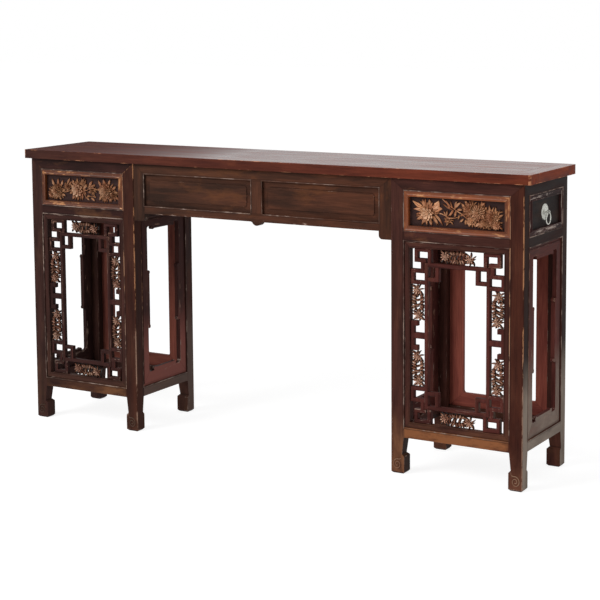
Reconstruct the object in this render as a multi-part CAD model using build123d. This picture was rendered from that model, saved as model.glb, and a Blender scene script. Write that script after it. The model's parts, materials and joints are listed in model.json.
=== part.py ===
"""Chinese altar table: a framed top on two open pedestals joined by front and back aprons.

Each pedestal has a carved-panel zone and a fret lattice in front, cusped openings at the ends and
the back, and a drawer that slides out of its outer end. Millimetres, +Z up, X along the length,
the front at -Y, the origin on the floor below the middle of the top. One STEP per sub-part.
"""
import os
from math import cos, pi, sin

from build123d import *

# ---- Overall sizes ---------------------------------------------------------------------------
table_height = 1050.0
top_length = 2090.0
top_depth = 402.0
end_overhang = 25.0
front_overhang = 12.0

# ---- Top frame -------------------------------------------------------------------------------
top_thickness = 33.0
top_stile_width = 68.0
top_end_rail_width = 66.0
top_corner_radius = 7.0
top_tenon_length = 24.0
top_tenon_thickness = 9.0
board_count = 3
board_thickness = 15.0
board_tongue_depth = 8.0
board_tongue_thickness = 6.0
batten_count = 4
batten_width = 46.0
batten_key_height = 4.0
batten_key_width = 34.0
batten_key_flare = 2.5
batten_stub = 10.0

# ---- Pedestals -------------------------------------------------------------------------------
pedestal_width = 483.0
leg_width = 50.0
leg_depth = 45.0
leg_arris_radius = 3.0
leg_stub_width = 20.0
leg_stub_height = 10.0
foot_height = 69.0
foot_chamfer = 6.0
ankle_cut = 8.5
ankle_top_cut = 2.0
floor_to_bottom_rail = 128.0
bottom_rail_height = 36.0
middle_rail_height = 37.0
drawer_zone_height = 133.0
top_rail_height = 43.0
rail_thickness = 28.0
tenon_length = 22.0
tenon_thickness = 9.0
tenon_shoulder = 8.0
mitre_depth = 8.0
bead_width = 4.0
bead_height = 1.2
panel_thickness = 8.0
panel_tongue = 5.0
panel_recess = 11.0

# ---- Hollow moulding of the carved panels and the drawer fronts ------------------------------
moulding_width = 17.0
moulding_rise = 2.5
moulding_lip = 2.2
moulding_hollow = 2.6

# ---- Lattice ---------------------------------------------------------------------------------
lattice_frame_width = 19.5
lattice_frame_recess = 3.0
lattice_frame_depth = 25.0
lattice_frame_round = 2.0
lattice_lip = 2.5
lattice_lip_height = 1.0
fret_bar = 13.5
fret_chamfer = 2.6
fret_recess = 7.0
fret_thickness = 19.0
fret_column = 52.5
fret_row = 50.0
fret_slit = 0.8
fret_hook_gap = 14.5
fret_stem_inset = 11.0
fret_stem_gap = 5.0
fret_box_step = 22.5
fret_box_height = 52.5
fret_inner_hook_width = 53.0
fret_inner_hook_height = 62.0
cross_bar_height = 20.0
cross_hook_reach = 41.0
cross_hook_tip = 18.0
floret_length = 128.0
floret_thickness = 9.0
floret_petals = 12
floret_petal_depth = 3.5
floret_heart_radius = 14.0
floret_heart_height = 3.0
floret_heart_slope = 25.0
seat_clearance = 0.3

# ---- Cusped opening frames -------------------------------------------------------------------
cusp_board_thickness = 12.0
cusp_board_recess = 3.0
cusp_field_rise = 2.5
cusp_margin = 9.0
cusp_depth = 11.0
cusp_bulb_rise = 3.0
cusp_bulb_root = 1.0
cusp_corner_radius = 9.0
cusp_lobe = 30.0
cusp_top_width = 34.0
cusp_bottom_width = 49.0
cusp_end_side_width = 41.0
cusp_back_side_width = 53.0
cusp_tongue_length = 222.0

# ---- Aprons ----------------------------------------------------------------------------------
apron_recess = 3.0
apron_thickness = 26.0
apron_top_rail_height = 39.0
apron_bottom_rail_height = 29.0
apron_panel_height = 117.0
apron_stile_width = 48.0
apron_muntin_width = 49.0
apron_bracket_drop = 28.0
apron_bracket_radius = 14.0
apron_pendant_width = 52.0
apron_pendant_drop = 14.0
apron_pendant_neck = 10.5
apron_tongue_thickness = 8.0
field_margin = 21.0
field_rise = 2.5
field_radius = 8.0

# ---- Drawers ---------------------------------------------------------------------------------
drawer_gap = 1.2
drawer_front_thickness = 16.0
drawer_front_recess = 6.0
drawer_length = 430.0
drawer_side_height = 110.0
drawer_side_thickness = 10.0
drawer_back_height = 96.0
drawer_housing = 6.0
drawer_bottom_thickness = 7.0
drawer_bottom_lift = 8.0
drawer_groove = 4.0
runner_width = 22.0
runner_height = 16.0
guide_width = 9.0
guide_height = 20.0
guide_gap = 1.0

# ---- Pulls -----------------------------------------------------------------------------------
pull_plate_radius = 28.0
pull_plate_thickness = 1.8
pull_rim_slope = 1.6
pull_boss_radius = 8.0
pull_boss_height = 3.0
pull_boss_slope = 2.0
eye_hole_radius = 4.0
eye_wire_radius = 1.6
eye_stand_off = 12.5
shank_radius = 1.8
shank_clearance = 0.2
clench_length = 14.0
clench_thickness = 1.5
ring_radius = 19.5
ring_wire_radius = 2.3
wire_facets = 8

# ---- Levels and places worked out from the sizes above ---------------------------------------
top_under = table_height - top_thickness
zone_top = top_under - top_rail_height
zone_bottom = zone_top - drawer_zone_height
lattice_top = zone_bottom - middle_rail_height
lattice_bottom = floor_to_bottom_rail + bottom_rail_height
outer_x = top_length / 2 - end_overhang
inner_x = outer_x - pedestal_width
half_depth = top_depth / 2 - front_overhang
pedestal_depth = 2 * half_depth
zone_middle = (zone_top + zone_bottom) / 2


# ---- Small helpers ---------------------------------------------------------------------------
def block(x0, x1, y0, y1, z0, z1):
    """A box given by its two corners."""
    middle = Pos((x0 + x1) / 2, (y0 + y1) / 2, (z0 + z1) / 2)
    return middle * Box(abs(x1 - x0), abs(y1 - y0), abs(z1 - z0))


def slab(points, z0, z1):
    """A polygon in the local XY plane, from z0 up to z1."""
    return Pos(0, 0, z0) * extrude(Polygon(*points, align=None), z1 - z0, dir=(0, 0, 1))


def along_x(profile, x0, x1):
    """A profile given in (y, z), run along local X from x0 to x1."""
    plane = Plane(origin=(x0, 0, 0), x_dir=(0, 1, 0), z_dir=(1, 0, 0))
    return extrude(plane * profile, x1 - x0, dir=(1, 0, 0))


def solids(*shapes):
    """All solids of some shapes, as one flat list."""
    return [solid for shape in shapes for solid in shape.solids()]


def both_ways(shape, plane):
    """A shape and its mirror image."""
    return solids(shape, shape.mirror(plane))


class Face4:
    """One upright face of a frame: local x runs along it, y is up, z points out of it."""

    def __init__(self, x, y, outward, span, reach):
        out_x, out_y = outward
        self.place = Plane(origin=(x, y, 0), x_dir=(-out_y, out_x, 0), z_dir=(out_x, out_y, 0))
        self.span = span
        self.reach = reach

    def put(self, shape):
        """A shape from local to world coordinates."""
        return self.place.location * shape

    def put_all(self, shapes):
        """A list of solids from local to world coordinates."""
        return [solid for shape in shapes for solid in self.put(shape).solids()]


front_span = pedestal_width - 2 * leg_width
end_span = pedestal_depth - 2 * leg_depth
pedestal_x = (outer_x + inner_x) / 2
FRONT = Face4(pedestal_x, -half_depth, (0, -1), front_span, leg_width)
BACK = Face4(pedestal_x, half_depth, (0, 1), front_span, leg_width)
OUTER = Face4(outer_x, 0, (1, 0), end_span, leg_depth)
INNER = Face4(inner_x, 0, (-1, 0), end_span, leg_depth)


def bead_profile():
    """The raised thread that edges each opening, bevelled on both sides, in (across, out)."""
    base = -bead_height / 2
    return Polygon((0, base), (bead_width, base), (bead_width, 0), (bead_width - bead_height, bead_height),
                   (bead_height, bead_height), (0, 0), align=None)


def level_bead(x0, x1, low):
    """A bead along local x whose lower edge is at height low."""
    return Pos(0, low, 0) * along_x(bead_profile(), x0, x1)


def upright_bead(left, y0, y1):
    """A bead up local y whose left edge is at left."""
    return Pos(left, 0, 0) * Rot(0, 0, 90) * Pos(0, -bead_width, 0) * along_x(bead_profile(), y0, y1)


def mitred_strips(width, height, profile, strip):
    """Four strips round a rectangle about the local origin, mitred at the corners.

    The profile is given in (inward, outward) and strip is its full width.
    """
    def lower(length, across):
        run = Pos(0, -across / 2, 0) * along_x(profile, -length / 2, length / 2)
        edge = -across / 2
        ends = [(-length / 2, edge), (length / 2, edge),
                (length / 2 - strip, edge + strip), (-length / 2 + strip, edge + strip)]
        return run & slab(ends, -table_height, table_height)

    level = lower(width, height)
    upright = Rot(0, 0, -90) * lower(height, width)
    return both_ways(level, Plane.XZ) + both_ways(upright, Plane.YZ)


# ---- Rails and legs of a pedestal ------------------------------------------------------------
def rail(face, low, high, beads, mitred=False):
    """A rail between two legs, with a tenon in each, flush with the face."""
    half = face.span / 2
    middle = -rail_thickness / 2
    shape = block(-half, half, low, high, -rail_thickness, 0)
    shape += block(-half - tenon_length, half + tenon_length, low + tenon_shoulder,
                   high - tenon_shoulder, middle - tenon_thickness / 2, middle + tenon_thickness / 2)
    if mitred:
        for side in (-1, 1):
            corner = [(side * half, low), (side * (half + face.reach), high), (side * half, high)]
            shape += slab(corner, -mitre_depth, 0)
    for edge in beads:
        shape += level_bead(-half, half, edge)
    return face.put(shape)


def face_rails(face):
    """The bottom, middle and top rail of one face."""
    return [rail(face, floor_to_bottom_rail, lattice_bottom, [lattice_bottom - bead_width]),
            rail(face, lattice_top, zone_bottom, [lattice_top, zone_bottom - bead_width]),
            rail(face, zone_top, top_under, [zone_top], mitred=True)]


def leg_outline(face_width):
    """Distance from the outer face against height: foot, ankle and post."""
    return [(foot_chamfer, 0), (face_width - foot_chamfer, 0), (face_width, foot_chamfer),
            (face_width, foot_height - ankle_cut), (face_width - ankle_cut, foot_height),
            (face_width - ankle_top_cut, floor_to_bottom_rail), (face_width, floor_to_bottom_rail),
            (face_width, top_under), (0, top_under), (0, foot_chamfer)]


def leg(x_face, y_face, x_in, y_in, beaded_faces):
    """A post whose outer corner is at x_face, y_face; x_in and y_in point into the pedestal."""
    across = [(x_face + x_in * u, z) for u, z in leg_outline(leg_width)]
    deep = [(y_face + y_in * v, z) for v, z in leg_outline(leg_depth)]
    front_plane = Plane(origin=(0, top_length, 0), x_dir=(1, 0, 0), z_dir=(0, -1, 0))
    end_plane = Plane(origin=(-top_length, 0, 0), x_dir=(0, 1, 0), z_dir=(1, 0, 0))
    post = extrude(front_plane * Polygon(*across, align=None), 2 * top_length, dir=(0, -1, 0))
    post &= extrude(end_plane * Polygon(*deep, align=None), 2 * top_length, dir=(1, 0, 0))
    arris = post.edges().filter_by(Axis.Z).sort_by_distance((x_face, y_face, zone_middle))[0]
    post = fillet(arris, leg_arris_radius)
    stub_x = x_face + x_in * leg_width / 2
    stub_y = y_face + y_in * leg_depth / 2
    half = leg_stub_width / 2
    post += block(stub_x - half, stub_x + half, stub_y - half, stub_y + half,
                  top_under - leg_stub_height, top_under + leg_stub_height)
    for face, side in beaded_faces:
        left = side * face.span / 2 - (bead_width if side < 0 else 0)
        for low, high in ((lattice_bottom, lattice_top), (zone_bottom, zone_top)):
            post += face.put(upright_bead(left, low - bead_width, high + bead_width))
    return post


LEGS = {
    "front_outer_leg": (outer_x, -half_depth, -1, 1, [(FRONT, 1), (OUTER, -1)]),
    "front_inner_leg": (inner_x, -half_depth, 1, 1, [(FRONT, -1), (INNER, 1)]),
    "back_outer_leg": (outer_x, half_depth, -1, -1, [(BACK, -1), (OUTER, 1)]),
    "back_inner_leg": (inner_x, half_depth, 1, -1, [(BACK, 1), (INNER, -1)]),
}


# ---- Panels and mouldings --------------------------------------------------------------------
def zone_panel(face):
    """A board in the drawer zone of a face, tongued into its legs and rails."""
    half = face.span / 2 + panel_tongue
    return face.put(block(-half, half, zone_bottom - panel_tongue, zone_top + panel_tongue,
                          -panel_recess - panel_thickness, -panel_recess))


def moulding(width, height, back):
    """Four mitred strips with a hollow face between two lips, standing on the plane z = back."""
    lip_top = moulding_rise
    outer = [(0, back), (0, 0), (moulding_lip, 0)]
    hollow = ThreePointArc((moulding_lip, 0),
                           (moulding_width / 2, lip_top / 2 - moulding_hollow),
                           (moulding_width - moulding_lip, lip_top))
    inner = [(moulding_width - moulding_lip, lip_top), (moulding_width, lip_top),
             (moulding_width, back), (0, back)]
    profile = make_face(Polyline(*outer) + hollow + Polyline(*inner))
    return mitred_strips(width, height, profile, moulding_width)


# ---- Lattice ---------------------------------------------------------------------------------
lattice_height = lattice_top - lattice_bottom
lattice_middle = (lattice_top + lattice_bottom) / 2
fret_half_width = front_span / 2 - lattice_frame_width
fret_half_height = lattice_height / 2 - lattice_frame_width
ring_inner_x = fret_half_width - fret_column - fret_bar
ring_outer_x = fret_half_width - fret_column


def lattice_frame():
    """The four mitred strips that hold the fret, with a lip along their inner edge."""
    back = -lattice_frame_recess - lattice_frame_depth
    face = -lattice_frame_recess
    edge = lattice_frame_width
    lip = face + lattice_lip_height
    profile = Polygon((0, back), (edge, back), (edge, lip), (edge - lattice_lip, lip),
                      (edge - lattice_lip, face), (lattice_frame_round, face),
                      (0, face - lattice_frame_round), align=None)
    strips = mitred_strips(front_span, lattice_height, profile, edge)
    return FRONT.put_all([Pos(0, lattice_middle, 0) * strip for strip in strips])


def fret_corner_bars():
    """The bars of one corner as (u0, u1, w0, w1), counted inwards from the frame's two edges."""
    bar, column, row = fret_bar, fret_column, fret_row
    stem = column + fret_stem_inset
    hook_low = row - fret_slit
    tail = column - fret_slit
    box_top = row + fret_box_step
    box_low = box_top + fret_box_height
    inner_u = column + fret_inner_hook_width
    inner_w = row + fret_inner_hook_height
    return [
        (column, column + bar, row, fret_half_height),
        (column, fret_half_width, row, row + bar),
        (stem, stem + bar, 0, row),
        (fret_hook_gap, stem + bar, 0, bar),
        (fret_hook_gap, fret_hook_gap + bar, 0, hook_low),
        (fret_hook_gap, stem - fret_stem_gap, hook_low - bar, hook_low),
        (tail - bar, tail, hook_low - bar, box_top),
        (0, column, box_top, box_top + bar),
        (0, bar, box_top, box_low),
        (0, column, box_low - bar, box_low),
        (inner_u - bar, inner_u, row, inner_w),
        (column, inner_u, inner_w - bar, inner_w),
    ]


def fret_cross_bars():
    """The half-height cross bar of one side and its small hook, counted as the corner bars are."""
    bar = fret_bar
    edge = fret_half_height - cross_bar_height / 2
    tip = edge - cross_hook_reach
    return [(0, fret_column, edge, fret_half_height),
            (0, bar, tip, edge),
            (bar, 2 * bar, tip, tip + cross_hook_tip)]


def fret():
    """The fret as one moulded outline, then parted at its joints into its pieces."""
    sketch = Sketch()
    for u0, u1, w0, w1 in fret_corner_bars() + fret_cross_bars():
        x, y = fret_half_width - (u0 + u1) / 2, fret_half_height - (w0 + w1) / 2
        for side in (-1, 1):
            for level in (-1, 1):
                sketch += Pos(side * x, level * y) * Rectangle(u1 - u0, w1 - w0)
    whole = Pos(0, 0, -fret_recess - fret_thickness) * extrude(sketch, fret_thickness, dir=(0, 0, 1))
    whole = chamfer(whole.faces().sort_by(Axis.Z)[-1].edges(), fret_chamfer)
    row_edge = fret_half_height - fret_row
    far = table_height

    def upright(x0, x1):
        return block(x0, x1, -row_edge, row_edge, -far, far)

    def crossing(y0, y1):
        return block(-ring_inner_x, ring_inner_x, y0, y1, -far, far)

    regions = [block(-far, far, row_edge, far, -far, far), block(-far, far, -far, -row_edge, -far, far),
               upright(ring_inner_x, ring_outer_x), upright(-ring_outer_x, -ring_inner_x),
               crossing(row_edge - fret_bar, row_edge), crossing(-row_edge, fret_bar - row_edge),
               crossing(fret_bar - row_edge, row_edge - fret_bar),
               upright(ring_outer_x, far), upright(-far, -ring_outer_x)]
    pieces = [piece for region in regions for piece in solids(whole & region)]
    return FRONT.put_all([Pos(0, lattice_middle, 0) * piece for piece in pieces])


def floret(length, height):
    """A flower blank: a petalled oval with a raised heart, its long side along local x."""
    outline = []
    for k in range(2 * floret_petals):
        angle = pi * k / floret_petals
        inset = floret_petal_depth if k % 2 else 0
        outline.append(((length / 2 - inset) * cos(angle), (height / 2 - inset) * sin(angle)))
    heart = extrude(Circle(floret_heart_radius), floret_heart_height, taper=floret_heart_slope)
    back = -fret_recess - fret_thickness + (fret_thickness - floret_thickness) / 2
    return Pos(0, 0, back) * (slab(outline, 0, floret_thickness) + Pos(0, 0, floret_thickness) * heart)


def florets():
    """The six openwork flowers: one above, one below and two at each side of the ring."""
    level = floret(floret_length, fret_row - 2 * seat_clearance)
    side_low = fret_row + fret_box_step + fret_box_height
    side_high = fret_half_height - cross_bar_height / 2 - cross_hook_reach
    upright_length = side_high - side_low - 2 * seat_clearance
    upright = Rot(0, 0, 90) * floret(upright_length, fret_column - 2 * seat_clearance)
    level_y = fret_half_height - fret_row / 2
    side_x = fret_half_width - fret_column / 2
    side_y = fret_half_height - (side_low + side_high) / 2
    shapes = [Pos(0, s * level_y, 0) * level for s in (-1, 1)]
    shapes += [Pos(s * side_x, t * side_y, 0) * upright for s in (-1, 1) for t in (-1, 1)]
    return FRONT.put_all([Pos(0, lattice_middle, 0) * shape for shape in shapes])


# ---- Cusped frames ---------------------------------------------------------------------------
def cusped_opening(open_half, low, high):
    """An opening whose edges step inwards along their middles, each step ending in two small bulbs."""
    step, lobe = cusp_depth, cusp_lobe
    radius = (step + cusp_bulb_rise + cusp_bulb_root) / 2
    middle = (low + high) / 2
    tongue = cusp_tongue_length / 2 - radius
    rise = step + cusp_bulb_rise - radius
    head = open_half - lobe - radius
    quarter = [(open_half, middle + tongue), (open_half, high), (head, high), (head, high - step)]
    inner = (open_half - step, middle + tongue)
    right_top = [inner] + quarter
    right_low = [(x, 2 * middle - y) for x, y in reversed(right_top)]
    right = right_low + right_top
    outline = right + [(-x, y) for x, y in reversed(right)]
    opening = Polygon(*outline, align=None)
    corners = [vertex for vertex in opening.vertices()
               if abs(abs(vertex.X) - open_half) < 1e-3 and min(abs(vertex.Y - low), abs(vertex.Y - high)) < 1e-3]
    opening = fillet(corners, cusp_corner_radius)
    for side in (-1, 1):
        for level in (-1, 1):
            opening -= Pos(side * (open_half - rise), middle + level * tongue) * Circle(radius)
            opening -= Pos(side * head, middle + level * ((high - low) / 2 - rise)) * Circle(radius)
    return opening


def plain_opening(open_half, low, high):
    """A straight-edged opening with rounded corners."""
    return Pos(0, (low + high) / 2) * RectangleRounded(2 * open_half, high - low, cusp_corner_radius)


def cusped_frame(face, side_width, cusped=True):
    """Four mitred boards round an opening, with a raised field."""
    half = face.span / 2
    open_half = half - side_width
    low = lattice_bottom + cusp_bottom_width
    high = lattice_top - cusp_top_width
    opening = (cusped_opening if cusped else plain_opening)(open_half, low, high)
    outline = Pos(0, lattice_middle) * Rectangle(face.span, lattice_height)
    field = Pos(0, lattice_middle) * Rectangle(face.span - 2 * cusp_margin,
                                               lattice_height - 2 * cusp_margin)
    front = -cusp_board_recess - cusp_field_rise
    frame = Pos(0, 0, front - cusp_board_thickness) * extrude(outline - opening,
                                                              cusp_board_thickness, dir=(0, 0, 1))
    frame += Pos(0, 0, front) * extrude(field - opening, cusp_field_rise, dir=(0, 0, 1))
    reach = cusp_depth + cusp_bulb_rise
    outer = [(half, lattice_bottom), (half, lattice_top), (-half, lattice_top), (-half, lattice_bottom)]
    inner = [(open_half, low), (open_half, high), (-open_half, high), (-open_half, low)]
    deep = [(open_half - reach, low + reach), (open_half - reach, high - reach),
            (reach - open_half, high - reach), (reach - open_half, low + reach)]
    far = table_height
    boards = []
    for k in range(4):
        n = (k + 1) % 4
        sector = [outer[k], outer[n], inner[n], deep[n], deep[k], inner[k]]
        boards += solids(frame & slab(sector, -far, far))
    return face.put_all(boards)


# ---- Drawer and its runners ------------------------------------------------------------------
drawer_half = end_span / 2 - guide_width - guide_gap
drawer_floor = zone_bottom + seat_clearance
tray_back = -drawer_length
front_back = -drawer_front_recess - drawer_front_thickness


def drawer_runners():
    """Two runners between the end rails, each with a guide that keeps the drawer straight."""
    back = -pedestal_width + rail_thickness
    outer_edge = end_span / 2
    shape = block(outer_edge - runner_width, outer_edge, zone_bottom - runner_height, zone_bottom,
                  back, -rail_thickness)
    shape += block(outer_edge - guide_width, outer_edge, zone_bottom, zone_bottom + guide_height,
                   back, -rail_thickness)
    return [solid for part in both_ways(shape, Plane.YZ) for solid in OUTER.put(part).solids()]


def drawer():
    """The drawer's pieces in OUTER's local frame: front, moulding, box and bottom."""
    half = end_span / 2 - drawer_gap
    low, high = zone_bottom + drawer_gap, zone_top - drawer_gap
    front = block(-half, half, low, high, front_back, -drawer_front_recess)
    side = block(drawer_half - drawer_side_thickness, drawer_half, drawer_floor,
                 drawer_floor + drawer_side_height, tray_back, front_back + drawer_housing)
    bottom_low = drawer_floor + drawer_bottom_lift
    bottom_high = bottom_low + drawer_bottom_thickness
    bottom_half = drawer_half - drawer_side_thickness + drawer_groove
    bottom = block(-bottom_half, bottom_half, bottom_low, bottom_high,
                   tray_back, front_back + drawer_groove)
    back = block(-drawer_half + drawer_side_thickness, drawer_half - drawer_side_thickness,
                 bottom_high, bottom_high + drawer_back_height,
                 tray_back, tray_back + drawer_side_thickness)
    sides = [piece - bottom for piece in both_ways(side, Plane.YZ)]
    front = front - sides[0] - sides[1] - bottom
    hole = Pos(0, zone_middle, 0) * Cylinder(shank_radius + shank_clearance, table_height)
    strips = moulding(2 * half, high - low, -drawer_front_recess)
    return {
        "drawer_front": OUTER.put_all([front - hole]),
        "drawer_moulding": OUTER.put_all([Pos(0, zone_middle, 0) * strip for strip in strips]),
        "drawer_box": OUTER.put_all(sides + [back]),
        "drawer_bottom": OUTER.put_all([bottom]),
    }


# ---- Pull ------------------------------------------------------------------------------------
eye_out = -drawer_front_recess + eye_stand_off
ring_pivot_z = zone_middle - eye_hole_radius + ring_wire_radius + seat_clearance


def wire_ring(radius, wire_radius):
    """A hammered ring of round wire about the local z axis."""
    section = Pos(radius, 0) * RegularPolygon(wire_radius, wire_facets)
    return revolve(Plane.XZ * section, Axis.Z)


def pull():
    """The plate, the eye with its clenched shank and the hanging ring, in OUTER's local frame."""
    hole = shank_radius + shank_clearance
    outline = [(hole, 0), (pull_plate_radius, 0),
               (pull_plate_radius - pull_rim_slope, pull_plate_thickness),
               (pull_boss_radius, pull_plate_thickness),
               (pull_boss_radius - pull_boss_slope, pull_boss_height), (hole, pull_boss_height)]
    plate = revolve(Plane.XZ * Polygon(*outline, align=None), Axis.Z)
    plate = Pos(0, zone_middle, -drawer_front_recess) * plate
    eye_ring = eye_hole_radius + eye_wire_radius
    eye = Pos(0, zone_middle, eye_out) * Rot(0, 90, 0) * wire_ring(eye_ring, eye_wire_radius)
    shank_top = eye_out - eye_ring
    shank_low = front_back - clench_thickness
    eye += Pos(0, zone_middle, (shank_top + shank_low) / 2) * Cylinder(shank_radius, shank_top - shank_low)
    eye += block(-clench_length / 2, clench_length / 2, zone_middle - shank_radius,
                 zone_middle + shank_radius, shank_low, front_back)
    ring = Pos(0, ring_pivot_z - ring_radius, eye_out) * wire_ring(ring_radius, ring_wire_radius)
    return {"pull_plate": OUTER.put_all([plate]), "pull_eye": OUTER.put_all([eye]),
            "pull_ring": OUTER.put_all([ring])}


# ---- Aprons ----------------------------------------------------------------------------------
apron_open_top = top_under - apron_top_rail_height
apron_open_bottom = apron_open_top - apron_panel_height
apron_bottom = apron_open_bottom - apron_bottom_rail_height
apron_inner = inner_x - apron_stile_width
apron_place = {
    "front": Face4(0, -half_depth + apron_recess, (0, -1), 2 * inner_x, 0),
    "back": Face4(0, half_depth - apron_recess, (0, 1), 2 * inner_x, 0),
}


def apron(carved):
    """The apron's pieces in the local frame of its face, with beads and fields if it is carved."""
    back, middle = -apron_thickness, -apron_thickness / 2
    half_tongue = apron_tongue_thickness / 2
    muntin_half = apron_muntin_width / 2

    top = slab([(-inner_x, top_under), (inner_x, top_under), (apron_inner, apron_open_top),
                (-apron_inner, apron_open_top)], back, 0)
    top += block(-apron_inner - tenon_length, apron_inner + tenon_length, apron_open_top + tenon_shoulder,
                 top_under - tenon_shoulder, middle - half_tongue, middle + half_tongue)
    bottom = block(-apron_inner, apron_inner, apron_bottom, apron_open_bottom, back, 0)
    bottom += block(-apron_inner - tenon_length, apron_inner + tenon_length, apron_bottom + tenon_shoulder,
                    apron_open_bottom - tenon_shoulder, middle - half_tongue, middle + half_tongue)
    if carved:
        half, low = apron_pendant_width / 2, apron_bottom - apron_pendant_drop
        neck = half - apron_pendant_neck
        shoulder = (neck, apron_bottom - apron_pendant_drop / 2)
        outline = Line((-half, apron_bottom), (half, apron_bottom))
        outline += TangentArc((half, apron_bottom), shoulder, tangent=(-1, 0))
        outline += ThreePointArc(shoulder, (0, low), (-neck, shoulder[1]))
        outline += TangentArc((-half, apron_bottom), (-neck, shoulder[1]), tangent=(1, 0))
        bottom += Pos(0, 0, back) * extrude(make_face(outline), apron_thickness, dir=(0, 0, 1))
    muntin = block(-muntin_half, muntin_half, apron_open_bottom, apron_open_top, back, 0)
    stub = apron_bottom_rail_height / 2
    muntin += block(-muntin_half + tenon_shoulder, muntin_half - tenon_shoulder, apron_open_bottom - stub,
                    apron_open_top + stub, middle - half_tongue, middle + half_tongue)

    low = apron_bottom - apron_bracket_drop
    stile_outline = Polygon((apron_inner, low), (inner_x, low), (inner_x, top_under),
                            (apron_inner, apron_open_top), align=None)
    corner = stile_outline.vertices().sort_by_distance((apron_inner, low, 0))[0]
    stile_outline = fillet(corner, apron_bracket_radius)
    stile = Pos(0, 0, back) * extrude(stile_outline, apron_thickness, dir=(0, 0, 1))
    stile += block(inner_x, inner_x + panel_tongue, low + tenon_shoulder, top_under - apron_top_rail_height,
                   middle - half_tongue, middle + half_tongue)
    stiles = both_ways(stile, Plane.YZ)

    panel_back = middle - panel_thickness / 2
    panel_front = panel_back + panel_thickness
    board = block(muntin_half - panel_tongue, apron_inner + panel_tongue, apron_open_bottom - panel_tongue,
                  apron_open_top + panel_tongue, panel_back, panel_front)
    if carved:
        width = apron_inner - muntin_half - 2 * field_margin
        field = RectangleRounded(width, apron_panel_height - 2 * field_margin, field_radius)
        board += Pos((apron_inner + muntin_half) / 2, (apron_open_top + apron_open_bottom) / 2,
                     panel_front) * extrude(field, field_rise, dir=(0, 0, 1))
        for x0, x1 in ((-apron_inner, -muntin_half), (muntin_half, apron_inner)):
            top += level_bead(x0 - bead_width, x1 + bead_width, apron_open_top)
            bottom += level_bead(x0, x1, apron_open_bottom - bead_width)
    boards = both_ways(board, Plane.YZ)
    muntin -= boards[0]
    muntin -= boards[1]
    for piece in boards:
        top -= piece
        bottom -= piece
    top -= muntin
    bottom -= muntin
    stiles = [stile - top - bottom - boards[0] - boards[1] for stile in stiles]
    if carved:
        for side in (-1, 1):
            left = side * muntin_half - (bead_width if side > 0 else 0)
            muntin += upright_bead(left, apron_open_bottom, apron_open_top)
            left = side * apron_inner - (bead_width if side < 0 else 0)
            edge_bead = upright_bead(left, apron_open_bottom - bead_width, apron_open_top)
            index = 0 if stiles[0].center().X * side > 0 else 1
            stiles[index] = stiles[index] + edge_bead
    return {"top_rail": [top], "bottom_rail": [bottom], "muntin": [muntin], "end_stiles": stiles,
            "panels": boards}


# ---- Top -------------------------------------------------------------------------------------
def top_frame(leg_stubs):
    """Stiles, end rails, boards and battens of the top."""
    half_length, half_width = top_length / 2, top_depth / 2
    stile_edge = half_width - top_stile_width
    rail_edge = half_length - top_end_rail_width
    tenon_low = top_under + leg_stub_height + 2
    board_low = table_height - board_thickness
    tongue_high = board_low + board_tongue_thickness

    end_rail = block(rail_edge, half_length, -stile_edge, stile_edge, top_under, table_height)
    end_rail += block(rail_edge + tenon_shoulder, half_length - tenon_shoulder, -stile_edge - top_tenon_length,
                      stile_edge + top_tenon_length, tenon_low, tenon_low + top_tenon_thickness)
    tongue = block(-rail_edge - board_tongue_depth, rail_edge + board_tongue_depth,
                   -stile_edge - board_tongue_depth, stile_edge + board_tongue_depth, board_low, tongue_high)
    field = block(-rail_edge, rail_edge, -stile_edge, stile_edge, board_low, table_height)
    end_rail -= tongue

    battens, keys = [], []
    pitch = 2 * rail_edge / (batten_count + 1)
    for k in range(batten_count):
        middle = -rail_edge + pitch * (k + 1)
        half = batten_width / 2
        batten = block(middle - half, middle + half, -stile_edge, stile_edge, top_under, board_low)
        batten += block(middle - half + tenon_shoulder, middle + half - tenon_shoulder,
                        -stile_edge - batten_stub, stile_edge + batten_stub,
                        top_under + leg_stub_height / 2, board_low - leg_stub_height / 2)
        foot, crown = batten_key_width / 2 - batten_key_flare, batten_key_width / 2
        profile = Polygon((middle - foot, board_low), (middle + foot, board_low),
                          (middle + crown, board_low + batten_key_height),
                          (middle - crown, board_low + batten_key_height), align=None)
        plane = Plane(origin=(0, stile_edge, 0), x_dir=(1, 0, 0), z_dir=(0, -1, 0))
        key = extrude(plane * profile, 2 * stile_edge, dir=(0, -1, 0))
        keys.append(key)
        battens.append(batten + key)

    boards = []
    width = 2 * (stile_edge + board_tongue_depth) / board_count
    whole = field + tongue
    for k in range(board_count):
        low = -stile_edge - board_tongue_depth + k * width
        board = whole & block(-top_length, top_length, low, low + width, board_low, table_height)
        for key in keys:
            board -= key
        boards += solids(board)

    stile = block(-half_length, half_length, stile_edge, half_width, top_under, table_height)
    corners = stile.edges().filter_by(Axis.Z).filter_by_position(Axis.Y, half_width - 1, half_width + 1)
    stile = fillet(corners, top_corner_radius)
    back_stile, front_stile = stile, stile.mirror(Plane.XZ)
    end_rails = both_ways(end_rail, Plane.YZ)
    cutters = end_rails + battens + [tongue] + leg_stubs
    for cutter in cutters:
        back_stile -= cutter
        front_stile -= cutter
    return {"top_front_stile": [front_stile], "top_back_stile": [back_stile], "top_end_rails": end_rails,
            "top_boards": boards, "top_battens": battens}


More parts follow.
